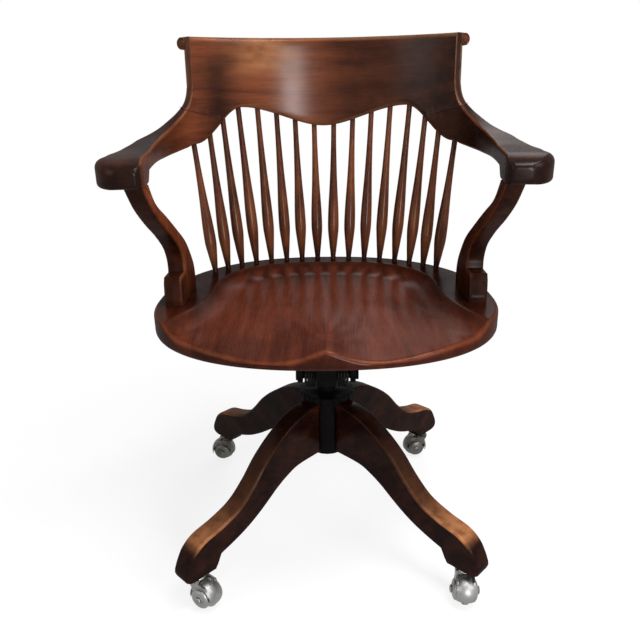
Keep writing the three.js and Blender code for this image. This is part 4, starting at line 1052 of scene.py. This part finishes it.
def dusty_metal(name, color, dirt, rough, metallic=1.0, speckle=260.0, relief=0.00006, specular=0.5):
    """A metal whose roughness varies from the first to the second of rough, with dirt in broad
    clouds, on the piece's own place."""
    material, tree, shader = new_finish(name)
    place = add_node(tree, "TexCoord").outputs["Object"]
    grains = add_node(tree, "TexNoise", Vector=place, Scale=speckle, Detail=5.0).outputs["Fac"]
    clouds = add_node(tree, "TexNoise", Vector=place, Scale=45.0, Detail=4.0).outputs["Fac"]
    dirty = add_node(tree, "MapRange", clouds, 0.45, 0.75).outputs[0]
    feed(tree, shader, {
        "Base Color": mixed(tree, "MIX", dirty, (*color, 1.0), (*dirt, 1.0)),
        "Roughness": add_node(tree, "MapRange", grains, 0.0, 1.0, *rough).outputs[0],
        "Normal": add_node(tree, "Bump", Distance=relief, Height=grains).outputs[0],
        "Metallic": metallic, "Specular IOR Level": specular,
    })
    return material


nickel = dusty_metal("nickel", (0.25, 0.248, 0.242), (0.08, 0.076, 0.068), (0.32, 0.50))
# A darker copy of the nickel for the rear casters: painted shade.
shaded_nickel = dusty_metal("shaded_nickel", (0.11, 0.104, 0.096), (0.03, 0.028, 0.025), (0.34, 0.52))
brass = dusty_metal("worn_brass", (0.34, 0.28, 0.18), (0.10, 0.08, 0.06), (0.3, 0.6))
wheel_profile = [
    (-0.010, 0.0030), (-0.010, 0.0085), (-0.0094, 0.0098), (-0.0090, 0.0156), (-0.0082, 0.0166),
    (-0.0056, 0.0202), (-0.0042, 0.0218), (-0.0024, 0.0225), (0.0024, 0.0225), (0.0042, 0.0218),
    (0.0056, 0.0202), (0.0082, 0.0166), (0.0090, 0.0156), (0.0094, 0.0098), (0.010, 0.0085),
    (0.010, 0.0030),
]


def dome(base, height, radius, steps=9):
    """Rows of a dome from a flat base: the height times sin a at the radius times cos a."""
    turn = np.linspace(0.0, math.pi / 2, steps)
    return np.column_stack([base + height * np.sin(turn), np.maximum(radius * np.cos(turn), 0.0004)])


boss = np.concatenate([
    [(cheek_inner, boss_radius - 0.0006), (cheek_inner + 0.0004, boss_radius)],
    [(cheek_outer - 0.0004, boss_radius)],
    dome(cheek_outer, boss_height, boss_radius),
])
crown = [
    (crown_bottom, crown_radius), (crown_bottom + 0.0035, crown_radius + 0.0016),
    (crown_top - 0.0008, crown_radius), (crown_top, crown_radius - 0.001),
    (crown_top, stem_radius), (stem_top, stem_radius),
]
axle_reach = cheek_outer + boss_height + 0.0003
axle_head = dome(axle_reach, axle_head_height, axle_head_radius)
axle_profile = np.concatenate([
    (axle_head * np.array([-1.0, 1.0]))[::-1], [(-axle_reach, axle_radius), (axle_reach, axle_radius)],
    axle_head,
])
cheek_edge = evenly(np.array([
    (-0.0145, 0.0), (0.0145, 0.0), (0.0155, 0.010), (0.0100, 0.0225), (-0.0030, 0.0250),
    (-0.0030, 0.0319), (-0.0230, 0.0319), (-0.0225, 0.0255), (-0.0165, 0.0150),
]), 0.003)
bridge_edge = evenly(np.array([
    (-0.0085, crown_bottom), (0.0085, crown_bottom), (0.0075, crown_top - 0.0004),
    (-0.0075, crown_top - 0.0004),
]), 0.003)
cheek = plank(cheek_edge, cheek_outer - cheek_inner, iron_arris, iron_arris_steps)[:3]
bridge = plank(bridge_edge, 2 * cheek_outer, iron_arris, iron_arris_steps)[:3]
# The hood is a ball's shell over the wheel's upper half: a radius that falls as the root of
# 1 - (w / 26 mm)^2 across the caster, carried over it from a little under the axle each side.
hood_radius = 0.0247
hood_wall = 0.0014
hood_ball = 0.026
hood_start = math.radians(-12.0)
hood_row = 25
hood_rows = 64
hood_across = np.linspace(-1, 1, hood_row)
hood_across = np.concatenate([hood_across, hood_across[::-1]])[None, :] * cheek_outer
hood_shell = np.repeat([hood_radius, hood_radius - hood_wall], hood_row)[None, :]
hood_turn = np.linspace(hood_start, math.pi - hood_start, hood_rows)[:, None]
hood_reach = hood_shell * np.sqrt(1 - (hood_across / hood_ball) ** 2)
hood = hood_reach * np.cos(hood_turn), hood_reach * np.sin(hood_turn), hood_across + 0 * hood_turn
up = np.array([0.0, 0.0, 1.0])


def set_out(origin, form, ahead, across):
    """A form's points from an origin: along the caster, upwards and across it."""
    u, w, d = (part[..., None] for part in form)
    return origin + u * ahead + w * up + d * across


for corner, (angle, trail) in corners.items():
    # The rear casters take the darker copy of the nickel, as painted shade.
    plate = nickel if corner.startswith("front") else shaded_nickel
    stand, heading = math.radians(angle + base_turn), math.radians(trail)
    stem = (leg_reach - caster_setback) * np.array([math.cos(stand), math.sin(stand), 0.0])
    ahead = np.array([math.cos(heading), math.sin(heading), 0.0])
    across = np.array([-ahead[1], ahead[0], 0.0])
    hub_place = stem + caster_trail * ahead + wheel_radius * up
    wheel = skin("ridged_wheel_" + corner, [turned(wheel_profile, hub_place, hub_place + across, 72)])
    set_piece(wheel, plate, "wheel_" + corner, "nickel", "caster_wheel_" + corner)
    parts = []
    for side in (1.0, -1.0):
        parts.append(turned(boss, hub_place, hub_place + side * across, 56))
        beside = hub_place + (cheek_inner + cheek_outer) / 2 * side * across
        parts.append(set_out(beside, cheek, ahead, across))
    parts.append(set_out(hub_place, hood, ahead, across))
    parts.append(turned(crown, stem, stem + up, 48))
    parts.append(set_out(stem, bridge, ahead, across))
    fork = skin("caster_cheeks_" + corner, parts)
    set_piece(fork, plate, "caster_" + corner, "nickel", "caster_fork_" + corner)
    axle = skin("domed_axle_" + corner, [turned(axle_profile, hub_place, hub_place + across, 40)])
    set_piece(axle, plate, "caster_" + corner, "nickel", "caster_axle_" + corner)
    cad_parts["caster_socket_" + corner].material_slots[0].material = brass

# The ironwork under the seat: the hub with its cap and the yoke are black castings, and the seat
# rails bent iron bars, oily and dusty. The shaft, the pin and the rails' screws are dark steel,
# and the washer under the nut is brass.
black_iron = dusty_metal(
    "black_iron", (0.0026, 0.0025, 0.0026), (0.005, 0.004, 0.0035), (0.40, 0.62),
    metallic=0.0, speckle=180.0, relief=0.00015, specular=0.02,
)
dark_steel = dusty_metal(
    "spring_steel", (0.008, 0.008, 0.008), (0.005, 0.004, 0.004), (0.3, 0.5), metallic=0.1, specular=0.05,
)
iron_nodes = ["hub", "hub_cap", "yoke", "shaft_nut", "seat_rail_left", "seat_rail_right"]
steel_nodes = ["yoke_pin", "tilt_shaft"] + ["rail_screw_" + corner for corner in corners]
for names, material in ((iron_nodes, black_iron), (steel_nodes, dark_steel), (["thrust_washer"], brass)):
    for name in names:
        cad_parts[name].material_slots[0].material = material

# The stop bar behind the horn: an iron strap between the seat rails, with both its ends bent up
# to the seat's underside. At rest it lies against the horn, so the seat can't tip forward.
bar_low, bar_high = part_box("stop_bar")
strap_wall = 0.0042
strap_top = seat_bottom - 0.0003
strap_edge = evenly(np.array([
    (bar_low[0], strap_top), (bar_low[0], bar_low[2]), (bar_high[0], bar_low[2]), (bar_high[0], strap_top),
    (bar_high[0] - strap_wall, strap_top), (bar_high[0] - strap_wall, bar_high[2]),
    (bar_low[0] + strap_wall, bar_high[2]), (bar_low[0] + strap_wall, strap_top),
]), 0.003)
u, w, d, _ = plank(strap_edge, bar_high[1] - bar_low[1], iron_arris, iron_arris_steps)
strap = skin("stop_strap", [np.stack([u, (bar_low[1] + bar_high[1]) / 2 + d, w], -1)])
set_piece(strap, black_iron, "top", "black_iron", "stop_bar")

# The height nut: a round black casting between the hub and the yoke, with a scalloped rim by
# which it is turned by hand, and a shallow recess in its top.
nut_bottom = 0.2576
nut_top = 0.2676
nut_radius = 0.048
nut_groove = 0.0025
nut_grooves = 22
nut_bore = 0.0131
nut_arris = 0.0012
nut_recess = 0.0008
angle = round_angles(360)
rows = [
    (nut_bottom, nut_bore, 0.0), (nut_bottom, nut_radius - nut_arris, 1.0),
    (nut_bottom + nut_arris, nut_radius, 1.0), (nut_top - nut_arris, nut_radius, 1.0),
    (nut_top, nut_radius - nut_arris, 1.0), (nut_top, nut_radius - 0.007, 0.2),
    (nut_top - nut_recess, nut_radius - 0.009, 0.0), (nut_top - nut_recess, 0.022, 0.0),
    (nut_top, 0.020, 0.0), (nut_top, nut_bore, 0.0), (nut_bottom, nut_bore, 0.0),
]
# The rim's radius falls by a raised cosine, once for each scallop.
wave = nut_groove * (0.5 - 0.5 * np.cos(nut_grooves * angle))
rings = np.stack([
    np.stack([(radius - wave * share) * np.cos(angle), (radius - wave * share) * np.sin(angle),
              np.full(len(angle), height)], -1)
    for height, radius, share in rows
])
nut = skin("scalloped_nut", [rings])
set_piece(nut, black_iron, "nut", "black_iron", "height_nut")

# The height screw: a round bar of dark steel with a coarse rounded thread. It stands in the nut,
# which raises it, and carries the yoke on its upper end.
screw_low, screw_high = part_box("height_screw")
screw_radius = 0.0127
thread_pitch = 0.00635
thread_depth = 0.0018
height = np.linspace(screw_low[2], screw_high[2], 300)
z, turn = np.meshgrid(height, round_angles(60), indexing="ij")
# The radius falls by a raised cosine of the height in pitches less the angle in turns.
phase = 2.0 * math.pi * z / thread_pitch - turn
radius = screw_radius - thread_depth * (0.5 - 0.5 * np.cos(phase))
screw = skin("threaded_screw", [np.stack([radius * np.cos(turn), radius * np.sin(turn), z], -1)])
set_piece(screw, dark_steel, "column", "spring_steel", "height_screw")

# The tilt springs: four close turns of steel wire each, wound round the shaft, with a straight
# end against the yoke and one against the rail.
shaft_height = 0.293
wire_radius = 0.002
coil_radius = 0.020
coil_turns = 4
coil_pitch = 0.0049
coil_start = 0.0182
tang = 0.004


def swept_wire(points, radius, around=16):
    """A tube round a line: circles square to the line, in a frame of its tangent and X."""
    run = unit(np.gradient(points, axis=0))
    side = unit(np.array([1.0, 0.0, 0.0]) - run * run[:, :1])
    other = np.cross(run, side)
    angle = round_angles(around)
    circle = np.cos(angle)[None, :, None] * side[:, None] + np.sin(angle)[None, :, None] * other[:, None]
    return points[:, None] + radius * circle


turn = np.linspace(0.0, 2.0 * math.pi * coil_turns, 200)
coil = np.stack([
    coil_start + coil_pitch * turn / (2.0 * math.pi),
    coil_radius * np.cos(turn), shaft_height + coil_radius * np.sin(turn),
], -1)
down = np.array([0.0, 0.0, tang])
wire = np.concatenate([[coil[0] - down, coil[0] - down / 2], coil, [coil[-1] + down / 2, coil[-1] + down]])
for side, name in ((1.0, "right"), (-1.0, "left")):
    rings = swept_wire(wire, wire_radius) * np.array([side, 1.0, 1.0])
    spring = skin("wound_spring_" + name, [rings])
    spring.data.materials.append(dark_steel)
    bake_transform(spring)
    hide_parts("tilt_spring_" + name)
